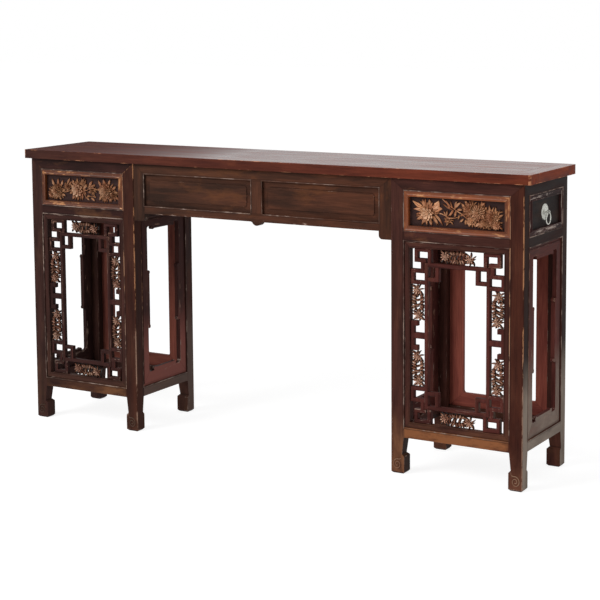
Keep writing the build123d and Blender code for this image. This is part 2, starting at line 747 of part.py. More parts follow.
# ---- Putting the table together --------------------------------------------------------------
def pedestal():
    """The right pedestal's fixed pieces, by name."""
    front, back = face_rails(FRONT), face_rails(BACK)
    ends = face_rails(OUTER) + face_rails(INNER)
    ends = [piece - front[2] - back[2] for piece in ends]
    panels = {"front": zone_panel(FRONT), "back": zone_panel(BACK), "inner": zone_panel(INNER)}

    def grooved(rails):
        return [piece - panels["front"] - panels["back"] - panels["inner"] for piece in rails]

    pieces = {
        "front_rails": grooved(front),
        "back_rails": grooved(back),
        "end_rails": grooved(ends),
        "front_panel": [panels["front"]],
        "closing_panels": [panels["back"], panels["inner"]],
        "front_moulding": FRONT.put_all([Pos(0, zone_middle, 0) * strip for strip in
                                         moulding(front_span, drawer_zone_height, -panel_recess)]),
        "lattice_frame": lattice_frame(),
        "lattice_fret": fret(),
        "lattice_florets": florets(),
        "outer_cusped_frame": cusped_frame(OUTER, cusp_end_side_width),
        "inner_cusped_frame": cusped_frame(INNER, cusp_end_side_width),
        "back_cusped_frame": cusped_frame(BACK, cusp_back_side_width, cusped=False),
        "drawer_runners": drawer_runners(),
    }
    cutters = front + back + ends + list(panels.values())
    for name, sizes in LEGS.items():
        post = leg(*sizes)
        for cutter in cutters:
            post -= cutter
        pieces[name] = [post]
    return pieces


def build():
    """Every node's solids, by node name."""
    right = pedestal()
    moving = {**drawer(), **pull()}
    nodes = {}
    aprons = {name: apron(name == "front") for name in apron_place}
    placed = {name: {part: apron_place[name].put_all(shapes) for part, shapes in parts.items()}
              for name, parts in aprons.items()}
    for name, post in right.items():
        if name.endswith("inner_leg"):
            side = name.split("_")[0]
            right[name] = [post[0] - placed[side]["end_stiles"][0] - placed[side]["end_stiles"][1]]
    for name, shapes in {**right, **moving}.items():
        nodes["right_" + name] = shapes
        nodes["left_" + name] = [shape.mirror(Plane.YZ) for shape in shapes]
    for part, shapes in placed["front"].items():
        nodes["apron_" + part] = shapes
    nodes["back_apron_frame"] = [shape for part, shapes in placed["back"].items() if part != "panels"
                                 for shape in shapes]
    nodes["back_apron_panels"] = placed["back"]["panels"]
    stubs = [shape for name, shapes in nodes.items() if name.endswith("_leg") for shape in shapes]
    nodes.update(top_frame(stubs))
    return nodes


os.makedirs("parts", exist_ok=True)
for node, shapes in build().items():
    export_step(Compound(children=solids(*shapes)), f"parts/{node}.step")
    print(node, len(solids(*shapes)))
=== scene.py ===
"""Looks of a Chinese altar table: worn dark lacquer, gilt carving and pale metal pulls.

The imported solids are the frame. Each lacquered solid is copied, eased along its free edges and
marked where hands and dusters rub it. Sprays, lattice flowers and foot scrolls are carved here.
Metres, +Z up, the carved front at -Y.
"""
import json
import math
import random
from functools import partial

import bmesh
import bpy
from mathutils import Matrix, Vector
from mathutils.bvhtree import BVHTree
from mathutils.geometry import intersect_point_line

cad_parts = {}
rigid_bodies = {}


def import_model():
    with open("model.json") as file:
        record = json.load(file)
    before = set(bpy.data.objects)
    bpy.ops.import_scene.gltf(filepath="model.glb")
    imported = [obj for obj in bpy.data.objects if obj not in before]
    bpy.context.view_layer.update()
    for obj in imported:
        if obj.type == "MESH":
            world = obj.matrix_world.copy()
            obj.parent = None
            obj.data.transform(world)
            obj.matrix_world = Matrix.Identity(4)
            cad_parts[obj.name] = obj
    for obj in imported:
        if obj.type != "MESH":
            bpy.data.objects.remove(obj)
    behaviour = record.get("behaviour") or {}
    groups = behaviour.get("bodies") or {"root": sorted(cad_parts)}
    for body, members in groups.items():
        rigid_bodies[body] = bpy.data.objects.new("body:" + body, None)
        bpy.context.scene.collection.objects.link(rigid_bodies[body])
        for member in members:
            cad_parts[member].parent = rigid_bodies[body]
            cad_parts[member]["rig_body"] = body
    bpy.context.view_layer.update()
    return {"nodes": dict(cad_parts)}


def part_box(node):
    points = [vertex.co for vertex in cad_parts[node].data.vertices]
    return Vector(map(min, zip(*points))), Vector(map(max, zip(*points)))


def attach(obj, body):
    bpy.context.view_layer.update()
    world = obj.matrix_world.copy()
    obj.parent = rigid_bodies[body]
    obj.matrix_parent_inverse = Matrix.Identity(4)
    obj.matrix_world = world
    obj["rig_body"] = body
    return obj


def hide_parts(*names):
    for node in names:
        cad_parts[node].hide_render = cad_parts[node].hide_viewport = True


MM = 0.001
SIDES = ("left", "right")
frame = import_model()
nodes = frame["nodes"]


# ---- Materials -------------------------------------------------------------------------------
def colour(code):
    """An sRGB hex value as a linear colour."""
    parts = [int(code[i:i + 2], 16) / 255 for i in (1, 3, 5)]
    return [c / 12.92 if c <= 0.04045 else ((c + 0.055) / 1.055) ** 2.4 for c in parts] + [1.0]


def add(tree, kind, inputs=(), **settings):
    """A new node. inputs gives its sockets their values, in order or by name or number.

    kind leaves out the word ShaderNode. A value may be an output, or a node, which stands for its
    first output in use. In order, a map range takes its value, from min, from max, to min, to max.
    A colour mix has its share at 0 and its colours at 6 and 7.
    """
    node = tree.nodes.new(kind if "Node" in kind else "ShaderNode" + kind)
    for name, value in settings.items():
        setattr(node, name, value)
    for name, value in inputs.items() if isinstance(inputs, dict) else enumerate(inputs):
        if isinstance(value, bpy.types.Node):
            value = next(output for output in value.outputs if output.enabled)
        if isinstance(value, bpy.types.NodeSocket):
            tree.links.new(value, node.inputs[name])
        else:
            node.inputs[name].default_value = value
    return node


def new_material(name):
    """A material without nodes, and what puts one into it."""
    material = bpy.data.materials.new(name)
    material.use_nodes = True
    material.node_tree.nodes.clear()
    return material, partial(add, material.node_tree)


MARKS = ("edge", "bead")
DUST_AND_REFLECTION = "#8c7a70"  # on worn edges and threads, and as the painted floor reflection on the kneehole's sides
FLOOR_REFLECTION = "#8a7c70"  # painted reflection of the pale floor, low on the outer ends


def lacquered_wood(name, dark, light, rubbed, bare, wear, threads=0.32, patches=0.35, low=(0.12, 0.0, 0.45),
                   end_painted_shading=1.0, end_floor_reflection=0.0, left=(1.0, 1.0, 1.0), right=(1.0, 1.0, 1.0), dulled=0.0,
                   roughness=0.55, specular=0.05, knee_floor_reflection=(DUST_AND_REFLECTION, 0.0)):
    """Brushed dark lacquer over hardwood: satin, streaked along the grain, rubbed thin at the edges.

    The grain attribute holds each board's own place with x along its grain; edge is 1 at a free
    corner, negative in a joint or crevice; bead is 1 on the raised threads. low gives the heights
    between which the rub towards the floor grows, and how far; it shows most on faces that look up
    and to the front, a painted light, and little on the back legs, a painted shade. left and right
    tint the two ends of the table, and dulled says how much rougher the left end is. The end
    shading scales the outer ends' colour, below 1 as painted shade and above 1 as painted light.
    The two floor reflection settings say how strongly a painted reflection of the pale floor
    lightens the ends and the kneehole's sides near the floor.
    """
    material, put = new_material(name)
    grain = put("Attribute", attribute_name="grain").outputs["Vector"]
    edge, bead = (put("Attribute", attribute_name=mark).outputs["Fac"] for mark in MARKS)
    place = put("TexCoord").outputs["Object"]
    x, y, z = put("SeparateXYZ", (place,)).outputs
    normal = put("NewGeometry").outputs["Normal"]
    facing_x, facing_y, facing_z = put("SeparateXYZ", (normal,)).outputs

    # in turn: cloudy brush marks about 30 mm across and 250 mm long, rubbed patches 70 mm across and
    # 200 mm long, grain pores 2 mm wide and 60 mm long, chips and scuffs 5 to 40 mm long
    noises = []
    for along, across, detail, sharpness in ((4.0, 32.0, 4.0, 0.6), (5.0, 14.0, 5.0, 0.65),
                                             (16.0, 480.0, 3.0, 0.55), (26.0, 120.0, 5.0, 0.65)):
        stretched = put("Mapping", {"Vector": grain, "Scale": (along, across, across)})
        noises.append(put("TexNoise", {"Vector": stretched, "Scale": 1.0, "Detail": detail,
                                       "Roughness": sharpness}))
    clouds, areas, pores, chips = noises
    brushed = put("MapRange", (clouds, 0.36, 0.66))
    body = put("Mix", {0: brushed, 6: colour(dark), 7: colour(light)}, data_type="RGBA")
    streak = put("MapRange", (pores, 0.35, 0.7, 0.8, 1.18))
    streaked = put("VectorMath", {0: body, "Scale": streak}, operation="SCALE")
    worn_areas = put("MapRange", (areas, 0.54, 0.72, 0.0, patches))

    # the lacquer is rubbed thinner and warmer towards the floor, most on the right
    depth = put("MapRange", (z, low[0], low[1], 0.0, 2 * low[2]))
    rightward = put("MapRange", (x, -1.0, 0.6, 0.3, 1.0))
    amount = put("Math", (depth, rightward), operation="MULTIPLY")
    # painted light: the rub shows most on faces that look up and to the front; painted shade: little on the back legs
    open_face = put("Math", (facing_z, facing_y), operation="SUBTRACT")
    facing_light = put("MapRange", (open_face, 0.0, 0.9, 0.12))
    back_shade = put("MapRange", (y, -0.1, 0.1, 1.0, 0.22))
    near = put("Math", (facing_light, back_shade), operation="MULTIPLY")
    reached = put("Math", (amount, near), operation="MULTIPLY")
    smears = put("MapRange", (areas, 0.36, 0.62))
    feet = put("Math", (reached, smears, worn_areas), operation="MULTIPLY_ADD", use_clamp=True)
    rubbed_low = put("Mix", {0: feet, 6: streaked, 7: colour(rubbed)}, data_type="RGBA")

    # the left end is tinted darker and browner than the right
    rightness = put("MapRange", (x, -1.0, 1.0))
    tint = put("Mix", {0: rightness, 6: (*left, 1.0), 7: (*right, 1.0)}, data_type="RGBA")
    warm = put("VectorMath", (rubbed_low, tint), operation="MULTIPLY")

    # the outer ends: painted shade, very dark, and low down a streaky painted reflection of the pale floor
    outward = put("Math", (facing_x, x), operation="MULTIPLY")
    outer = put("MapRange", (outward, 0.75, 0.95))
    painted_end_shade = put("VectorMath", {0: warm, "Scale": end_painted_shading}, operation="SCALE")
    low_down = put("MapRange", (z, 0.45, 0.30))
    reflection_streaks = put("MapRange", (areas, 0.38, 0.62, 0.62 * end_floor_reflection, 1.12 * end_floor_reflection))
    floor_reflection_share = put("Math", (low_down, reflection_streaks), operation="MULTIPLY", use_clamp=True)
    with_floor_reflection = put("Mix", {0: floor_reflection_share, 6: painted_end_shade, 7: colour(FLOOR_REFLECTION)}, data_type="RGBA")
    # painted shade: the feet's sides that face outward but stand further in are made very dark
    inner = put("MapRange", (outward, 0.2, 0.4))
    foot = put("MapRange", (z, 0.16, 0.12))
    painted_foot_shade = put("Math", (inner, foot), operation="MULTIPLY")
    darkening = put("MapRange", (painted_foot_shade, 0.0, 1.0, 1.0, 0.35))
    inside = put("VectorMath", {0: warm, "Scale": darkening}, operation="SCALE")
    ends = put("Mix", {0: outer, 6: inside, 7: with_floor_reflection}, data_type="RGBA")
    # the same painted floor reflection on the kneehole's sides, which face inward a little over half a metre out
    kneeward = put("MapRange", (outward, -0.46, -0.52, 0.0, knee_floor_reflection[1]))
    outermost = put("MapRange", (outward, -0.64, -0.58))
    knee_side = put("Math", (kneeward, outermost), operation="MULTIPLY")
    knee_reflection = put("Math", (low_down, knee_side), operation="MULTIPLY")
    sides = put("Mix", {0: knee_reflection, 6: ends, 7: colour(knee_floor_reflection[0])}, data_type="RGBA")

    # wear breaks up along the free edges and the raised threads
    uneven = put("Math", (areas, 1.6, -1.1), operation="MULTIPLY_ADD")
    broken = put("Math", (chips, 1.6, uneven), operation="MULTIPLY_ADD")
    rub = put("Math", (edge, 0.55, broken), operation="MULTIPLY_ADD")
    worn = put("MapRange", (rub, 1.14 - 0.3 * wear, 1.30 - 0.3 * wear, 0.0, 0.9))
    # the bare edges turn grey towards the floor: dust, and the painted reflection of the pale floor that lies on the
    # ends
    edge_dust_and_reflection = put("MapRange", (z, 0.5, 0.36, 0.0, 0.7))
    bare_edge = put("Mix", {0: edge_dust_and_reflection, 6: colour(bare), 7: colour(DUST_AND_REFLECTION)}, data_type="RGBA")
    edged = put("Mix", {0: worn, 6: sides, 7: bare_edge}, data_type="RGBA")
    thread = put("Math", (bead, broken), operation="MULTIPLY")
    thread_worn = put("MapRange", (thread, 0.2, 0.75, 0.0, threads))
    threaded = put("Mix", {0: thread_worn, 6: edged, 7: colour(DUST_AND_REFLECTION)}, data_type="RGBA")
    # dark dirt in joints between solids, and painted shade in inner corners and crevices
    crevice = put("MapRange", (edge, -1.0, 0.0, 0.3, 1.0))
    finished = put("VectorMath", {0: threaded, "Scale": crevice}, operation="SCALE")
    gloss = put("MapRange", (clouds, 0.3, 0.7, roughness - 0.06, roughness + 0.1))
    duller = put("MapRange", (x, -1.0, -0.2, dulled, 0.0))
    rough = put("Math", (gloss, duller), operation="ADD")
    bump = put("Bump", {"Height": pores, "Strength": 0.25, "Distance": 0.4 * MM})
    shader = put("BsdfPrincipled", {"Base Color": finished, "Roughness": rough, "Normal": bump,
                                    "Specular IOR Level": specular})
    put("OutputMaterial", {"Surface": shader})
    return material


def gilt_carving(name, hollow, body, crest, deep_y, high_y, left_tone=0.66):
    """Carved wood under worn gold lacquer, with painted light and shade.

    Dark in the hollows, partly dirt and partly painted shade; coppery on the slopes; pale painted
    highlights on the crests and on faces that look to the front.
    """
    material, put = new_material(name)
    place = put("TexCoord").outputs["Object"]
    x, y, _ = put("SeparateXYZ", (place,)).outputs
    normal = put("NewGeometry").outputs["Normal"]
    facing_y = put("SeparateXYZ", (normal,)).outputs["Y"]
    # rubbed patches about 12 mm across, chisel marks about 2 mm, thin gold about 45 mm
    patches = put("TexNoise", {"Vector": place, "Scale": 80.0, "Detail": 3.0})
    marks = put("TexNoise", {"Vector": place, "Scale": 420.0, "Detail": 2.0})
    thin = put("TexNoise", {"Vector": place, "Scale": 22.0, "Detail": 4.0})
    # painted shade: ambient occlusion darkens the hollows; painted light: crests and faces that look to the front are
    # paler
    shade = put("AmbientOcclusion", {"Distance": 5 * MM}, samples=6).outputs["AO"]
    rise = put("MapRange", (y, deep_y, high_y))
    height = put("Math", (patches, 0.7, rise), operation="MULTIPLY_ADD")
    ao_painted_shade = put("MapRange", (shade, 0.15, 0.85, 0.15))
    painted_front_light = put("MapRange", (facing_y, -0.35, -0.92, 0.55, 1.15))
    open_height = put("Math", (height, ao_painted_shade), operation="MULTIPLY")
    lit = put("Math", (open_height, painted_front_light), operation="MULTIPLY")
    ramp = put("ValToRGB", (lit,))
    stops = ramp.color_ramp.elements
    stops[0].position, stops[0].color = 0.25, colour(hollow)
    stops[1].position, stops[1].color = 1.0, colour(crest)
    stops.new(0.55).color = colour(body)
    # the gold has gone rosy where it is thin
    thin_areas = put("MapRange", (thin, 0.42, 0.6, 0.0, 0.75))
    rosy = put("Mix", {0: thin_areas, 6: ramp, 7: colour("#d8bab4")}, data_type="RGBA", blend_type="MULTIPLY")
    # the left half is darker
    along = put("MapRange", (x, -0.7, 0.6, left_tone, 1.0))
    toned = put("VectorMath", {0: rosy, "Scale": along}, operation="SCALE")
    bump = put("Bump", {"Height": marks, "Strength": 0.5, "Distance": 0.6 * MM})
    shader = put("BsdfPrincipled", {"Base Color": toned, "Normal": bump, "Roughness": 0.45,
                                    "Metallic": 0.1, "Specular IOR Level": 0.2})
    put("OutputMaterial", {"Surface": shader})
    return material


def bare_wood(name, pale, dark):
    """Planed softwood left bare inside: matt, straight-grained, browned with age."""
    material, put = new_material(name)
    place = put("TexCoord").outputs["Object"]
    # grain about 9 mm wide and 170 mm long
    rings = put("Mapping", {"Vector": place, "Scale": (6.0, 110.0, 110.0)})
    grain = put("TexNoise", {"Vector": rings, "Scale": 1.0, "Detail": 4.0})
    wood = put("Mix", {0: grain, 6: colour(dark), 7: colour(pale)}, data_type="RGBA")
    bump = put("Bump", {"Height": grain, "Strength": 0.3, "Distance": 0.5 * MM})
    shader = put("BsdfPrincipled", {"Base Color": wood, "Normal": bump, "Roughness": 0.7})
    put("OutputMaterial", {"Surface": shader})
    return material


def white_metal(name):
    """Cast and hammered copper-nickel alloy: pale, soft gleam, with darker handling marks."""
    material, put = new_material(name)
    place = put("TexCoord").outputs["Object"]
    # handling marks about 5 mm across
    spots = put("TexNoise", {"Vector": place, "Scale": 190.0, "Detail": 5.0, "Roughness": 0.7})
    clean = put("MapRange", (spots, 0.35, 0.62))
    metal = put("Mix", {0: clean, 6: colour("#8b8a82"), 7: colour("#dcdcd4")}, data_type="RGBA")
    dull = put("MapRange", (spots, 0.3, 0.7, 0.55, 0.3))
    bump = put("Bump", {"Height": spots, "Strength": 0.4, "Distance": 0.6 * MM})
    shader = put("BsdfPrincipled", {"Base Color": metal, "Roughness": dull, "Normal": bump, "Metallic": 0.9})
    put("OutputMaterial", {"Surface": shader})
    return material


# each lacquer: its dark and light tone, where it is rubbed thin, and the bare wood at its worn edges
# END paints the outer ends with shade and, low down, a reflection of the pale floor
END = {"end_painted_shading": 0.3, "end_floor_reflection": 0.95}
LEFT_TINT = (0.66, 0.80, 0.86)
# the kneehole setting paints a pale reflection of the floor low on the kneehole's sides
dark_lacquer = lacquered_wood("dark_lacquer", "#361e19", "#4e2c25", "#7a5038", "#9a8478", 0.2, patches=0.2,
                              low=(0.24, 0.04, 0.75), left=LEFT_TINT, knee_floor_reflection=(DUST_AND_REFLECTION, 0.25), **END)
rail_lacquer = lacquered_wood("rail_lacquer", "#361e19", "#4e2c25", "#8c5838", "#9a8478", 0.2, patches=0.65,
                              low=(0.20, 0.15, 0.9), left=(0.42, 0.5, 0.58), **END)
rubbed_lacquer = lacquered_wood("rubbed_lacquer", "#361a14", "#4d281d", "#6c4434", "#c08860", 0.5, threads=0.25,
                                patches=0.2, low=(0.16, 0.0, 0.5), left=LEFT_TINT, **END)
apron_lacquer = lacquered_wood("apron_lacquer", "#38231b", "#583426", "#7a482a", "#9a8478", 0.15, patches=0.5,
                               left=(0.55, 0.72, 0.8), right=(1.15, 1.08, 1.0))
red_lacquer = lacquered_wood("red_lacquer", "#42201c", "#5e302a", "#7c4a3a", "#8c6a5a", 0.15, end_floor_reflection=0.8,
                             left=(0.35, 0.55, 0.6), knee_floor_reflection=("#9c5e54", 0.5))
# painted light: brighter than the front frames' red, standing in for light that falls into the inside
inner_red_painted_light = lacquered_wood("inner_red_painted_light", "#783c34", "#9c5446", "#9c5440", "#8c6a5a", 0.1,
                                   left=(0.5, 0.6, 0.6))
top_lacquer = lacquered_wood("top_lacquer", "#5a2c24", "#7e4438", "#98532c", "#a4643c", 0.25, roughness=0.24,
                             specular=0.18, low=(0.1, 0.0, 0.0), left=(0.4, 0.4, 0.45), dulled=0.9)
# painted light: its outer ends are made lighter
top_edge_lacquer = lacquered_wood("top_edge_lacquer", "#52261a", "#743824", "#98502c", "#c48460", 0.3,
                                  low=(0.1, 0.0, 0.0), left=(0.30, 0.50, 0.82), right=(1.05, 0.98, 1.05),
                                  end_painted_shading=1.25)
gilt_moulding = lacquered_wood("gilt_moulding", "#5c2e1a", "#844422", "#a8683a", "#c08656", 0.16, roughness=0.32,
                               specular=0.25, patches=0.25, left=(0.45, 0.46, 0.46), right=(1.15, 1.15, 1.1))
drawer_lacquer = lacquered_wood("drawer_lacquer", "#151010", "#241b19", "#4b342a", "#7c6a60", 0.1)
drawer_moulding_lacquer = lacquered_wood("drawer_moulding_lacquer", "#2c1918", "#442a29", "#643e34", "#b4a49a",
                                         0.35)
panel_ground = lacquered_wood("panel_ground", "#2c1e1c", "#3e2c2a", "#4d3026", "#4d3026", 0.0)
inside_wood = bare_wood("inside_wood", "#8a6746", "#5c4029")
pull_metal = white_metal("pull_metal")
# each gilt: hollow colour (partly painted shade), slope colour and crest colour (a painted highlight), and the y of
# its deepest and highest places
spray_gilt = gilt_carving("spray_gilt", "#3a1e14", "#c88a5e", "#d8b090", -0.178, -0.194)
flower_gilt = gilt_carving("flower_gilt", "#1a0d0a", "#8a5438", "#e8c0a6", -0.1745, -0.1838)
scroll_gilt = gilt_carving("scroll_gilt", "#3c261c", "#6e4c38", "#94745c", -0.189, -0.1905, left_tone=0.2)


# ---- Dressing the lacquered solids -----------------------------------------------------------
SNAP = 0.02 * MM  # places closer than this are one place
FLAT = math.radians(8)  # faces that meet at less are one face
EASED = math.radians(20)  # corners sharper than this are eased
ROUND = math.radians(25)  # faces that meet at less shade into each other
CRISP = math.radians(10)  # round a wide flat face, only under this
IN_PLANE = 0.9998  # cosine between the normals of faces in one plane
NARROW = 3.0 * MM  # a flat strip narrower than this is rubbed right across
APRON_THREAD_Y = (-0.1885, -0.1862)
KNEE_THREAD_X = (0.5355, 0.5369)
END_THREAD_X = 1.0202
FACE_THREAD_Y = (0.1892, 0.1905)


def split_solids(mesh):
    """The node's solids, each as a list of triangles of rounded places: one ends where its surface has closed."""
    mesh.calc_loop_triangles()
    points = [tuple(round(c, 6) for c in v.co) for v in mesh.vertices]
    found, current, unmatched = [], [], {}
    for triangle in mesh.loop_triangles:
        tri = tuple(points[i] for i in triangle.vertices)
        current.append(tri)
        for a, b in ((tri[0], tri[1]), (tri[1], tri[2]), (tri[2], tri[0])):
            if unmatched.get((b, a)):
                unmatched[(b, a)] -= 1
                if not unmatched[(b, a)]:
                    del unmatched[(b, a)]
            else:
                unmatched[(a, b)] = unmatched.get((a, b), 0) + 1
        if not unmatched:
            found.append(current)
            current = []
    return found + [current] if current else found


def new_object(name, data):
    """An object that is in the scene."""
    made = bpy.data.objects.new(name, data)
    bpy.context.scene.collection.objects.link(made)
    return made


def new_mesh(name, bm):
    """What has been drawn in bm, as a mesh."""
    mesh = bpy.data.meshes.new(name)
    bm.to_mesh(mesh)
    bm.free()
    return mesh


def place_box(part):
    """The lowest and highest corner of one solid's triangles, in metres."""
    points = [p for tri in part for p in tri]
    return [[pick(p[k] for p in points) for k in range(3)] for pick in (min, max)]


solid_triangles = {name: split_solids(node.data) for name, node in nodes.items()}
all_triangles = [tri for parts in solid_triangles.values() for part in parts for tri in part]
everything = BVHTree.FromPolygons([p for tri in all_triangles for p in tri],
                                  [(3 * i, 3 * i + 1, 3 * i + 2) for i in range(len(all_triangles))],
                                  all_triangles=True)


def way_in(face, edge):
    """The way from the middle of an edge into a face, at right angles to the edge, and that middle."""
    a, b = (v.co for v in edge.verts)
    inward, middle = face.normal.cross(b - a).normalized(), (a + b) / 2
    if inward.dot(face.calc_center_median() - middle) < 0:
        inward.negate()
    return inward, middle


def is_covered(face, edge):
    """Whether another solid lies against this face beside this edge."""
    inward, middle = way_in(face, edge)
    start = middle + inward * 1.0 * MM + face.normal * 0.06 * MM
    hit, normal, _, _ = everything.ray_cast(start, face.normal, 0.5)
    return hit is not None and normal.dot(face.normal) > 0


def corner_kind(edge):
    """1 for a free outer corner, -0.35 at a joint with another solid, -0.8 in a crevice, 0 if flat."""
    if len(edge.link_faces) != 2 or edge.calc_face_angle(0.0) < FLAT:
        return 0.0
    if any(is_covered(face, edge) for face in edge.link_faces):
        return -0.35
    return 1.0 if edge.is_convex else -0.8


def flat_patches(bm):
    """Groups of neighbouring faces that lie in one plane."""
    grouped, patches = set(), []
    for seed in bm.faces:
        if seed in grouped:
            continue
        grouped.add(seed)
        patch = [seed]
        for face in patch:  # the list grows as neighbours are found
            for edge in face.edges:
                for other in edge.link_faces:
                    if other not in grouped and other.normal.dot(seed.normal) > IN_PLANE:
                        grouped.add(other)
                        patch.append(other)
        patches.append(patch)
    return patches


def patch_rim(patch):
    """The edges round a flat patch: start, end, kind of corner and the way into the patch."""
    inside, rim = set(patch), []
    for face in patch:
        for edge in face.edges:
            if not all(other in inside for other in edge.link_faces):
                a, b = (v.co.copy() for v in edge.verts)
                rim.append((a, b, corner_kind(edge), way_in(face, edge)[0]))
    return rim


def gap_to(point, rim_edge):
    """How far a point is from an edge of a rim."""
    near, share = intersect_point_line(point, rim_edge[0], rim_edge[1])
    if share < 0 or share > 1:
        near = rim_edge[0] if share < 0 else rim_edge[1]
    return (point - near).length


def mark_rim(bm, patch, rim, border, edge_layer):
    """Cuts a strip of even width along each long edge of a patch and marks its outer side."""
    long_edges = [e for e in rim if (e[1] - e[0]).length > 4 * border and e[2]]
    cuts = set()
    for rim_edge in long_edges:
        start, _, _, inward = rim_edge
        place = start + inward * border
        cut = (*(round(c, 3) for c in inward), round(place.dot(inward), 5))
        beside = [f for f in patch if any(gap_to(v.co, rim_edge) < SNAP for v in f.verts)]
        if cut in cuts or not beside:
            continue
        cuts.add(cut)
        # each once and in order, so that every run cuts alike
        parts = dict.fromkeys([*beside, *(e for f in beside for e in f.edges), *(v for f in beside for v in f.verts)])
        halves = bmesh.ops.bisect_plane(bm, geom=list(parts), dist=SNAP, plane_co=place, plane_no=inward)
        cut_faces = [part for part in halves["geom"] if isinstance(part, bmesh.types.BMFace)]
        patch = list(dict.fromkeys([f for f in patch if f not in beside] + cut_faces))
    for face in patch:
        centre = face.calc_center_median()
        for loop in face.loops:
            on = [e for e in long_edges if gap_to(loop.vert.co, e) < SNAP]
            if on:
                loop[edge_layer] = min(on, key=lambda e: gap_to(centre, e))[2]


def is_bead(face, apron):
    """Whether a face stands proud of the table's main faces, as the raised threads do."""
    x, y, _ = face.calc_center_median()
    if apron:
        return APRON_THREAD_Y[0] < y < APRON_THREAD_Y[1]
    return (KNEE_THREAD_X[0] < abs(x) < KNEE_THREAD_X[1] or abs(x) > END_THREAD_X
            or FACE_THREAD_Y[0] < abs(y) < FACE_THREAD_Y[1])


def in_order(bm):
    """A solid rebuilt with each face once and in a fixed order, because easing leaves them in any order."""
    bm.verts.index_update()
    faces = {}
    for face in bm.faces:
        corners = [v.index for v in face.verts]
        first = corners.index(min(corners))
        faces[frozenset(corners)] = corners[first:] + corners[:first]
    ordered = bmesh.new()
    for layer in MARKS:
        ordered.loops.layers.float.new(layer)
    verts = [ordered.verts.new(v.co) for v in bm.verts]
    for corners in sorted(faces.values()):
        ordered.faces.new([verts[i] for i in corners])
    ordered.normal_update()
    bm.free()
    return ordered


def eased_solid(part, ease):
    """One solid's triangles as a mesh of whole faces, its long free corners eased."""
    bm = bmesh.new()
    made = {}
    for tri in {frozenset(tri): tri for tri in part if len(set(tri)) == 3}.values():
        for place in tri:
            if place not in made:
                made[place] = bm.verts.new(place)
        bm.faces.new([made[place] for place in tri])
    bm.normal_update()
    bmesh.ops.dissolve_limit(bm, angle_limit=math.radians(0.6), verts=bm.verts, edges=bm.edges)
    if ease:
        sharp = [e for e in bm.edges if corner_kind(e) == 1.0 and e.calc_length() > 4 * ease
                 and e.calc_face_angle(0.0) > EASED]
        bmesh.ops.bevel(bm, geom=sharp, offset=ease, segments=2, profile=0.5, affect="EDGES", clamp_overlap=True)
    return in_order(bm)


def mark_solid(bm, border, beads, apron):
    """Marks a solid's corners, joints and threads, and which of its edges shade smoothly."""
    edge_layer, bead_layer = (bm.loops.layers.float[layer] for layer in MARKS)
    rims = [(patch, patch_rim(patch)) for patch in flat_patches(bm)]
    for edge in bm.edges:
        edge.smooth = len(edge.link_faces) == 2 and edge.calc_face_angle(0.0) < ROUND
    for patch, rim in rims:
        length = sum((e[1] - e[0]).length for e in rim)
        width = 2 * sum(f.calc_area() for f in patch) / max(length, 1e-9)
        if width >= border:
            for edge in (e for f in patch for e in f.edges):
                if edge.calc_face_angle(0.0) > CRISP:
                    edge.smooth = False
            mark_rim(bm, patch, rim, border, edge_layer)
            continue
        kinds = [e[2] for e in rim if (e[1] - e[0]).length > 1.5 * width]
        value = 1.0 if width < NARROW and min(kinds, default=0.0) >= 0 else 0.0
        for face in patch:
            proud = float(beads and is_bead(face, apron))
            for loop in face.loops:
                loop[edge_layer], loop[bead_layer] = value, proud


def add_piece(name, mesh, body, replaced=None):
    """Puts a finished mesh into the scene as a piece that rides on a body of the table."""
    piece = new_object(name, mesh)
    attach(piece, body)
    if replaced:
        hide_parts(replaced)


def dress(name, material, ease=0.0, border=3.2, beads=True, side_material=None):
    """Stands in for a CAD node with an eased copy whose corners, joints and threads are marked.

    ease and border, the width of the rubbed edges, are in millimetres. side_material, if given, goes
    on the faces that don't look up or down.
    """
    rng = random.Random(name)
    whole = bmesh.new()
    marks = [whole.loops.layers.float.new(layer) for layer in MARKS]
    grain_mark = whole.verts.layers.float_vector.new("grain")
    for part in solid_triangles[name]:
        bm = eased_solid(part, ease * MM)
        mark_solid(bm, border * MM, beads, name.startswith("apron"))
        layers = [bm.loops.layers.float[layer] for layer in MARKS]
        low, high = place_box(part)
        spans = [b - a for a, b in zip(low, high)]
        long_axis = spans.index(max(spans))
        order = [long_axis, (long_axis + 1) % 3, (long_axis + 2) % 3]
        shift = [rng.uniform(-3, 3) for _ in range(3)]
        copies = {}
        for vert in bm.verts:
            copies[vert] = whole.verts.new(vert.co)
            copies[vert][grain_mark] = [vert.co[k] + shift[i] for i, k in enumerate(order)]
        for face in bm.faces:
            try:
                new_face = whole.faces.new([copies[v] for v in face.verts])
            except ValueError:  # the same face is there already
                continue
            for old, new in zip(face.loops, new_face.loops):
                for mark, layer in zip(marks, layers):
                    new[mark] = old[layer]
        for edge in bm.edges:
            new_edge = whole.edges.get([copies[v] for v in edge.verts])
            if new_edge:
                new_edge.smooth = edge.smooth
        bm.free()
    for face in whole.faces:
        face.smooth = True
    mesh = new_mesh(name + "_dressed", whole)
    mesh.materials.append(material)
    if side_material:
        mesh.materials.append(side_material)
        for polygon in mesh.polygons:
            polygon.material_index = int(abs(polygon.normal.z) < 0.6)
    add_piece(name + "_dressed", mesh, nodes[name]["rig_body"], name)


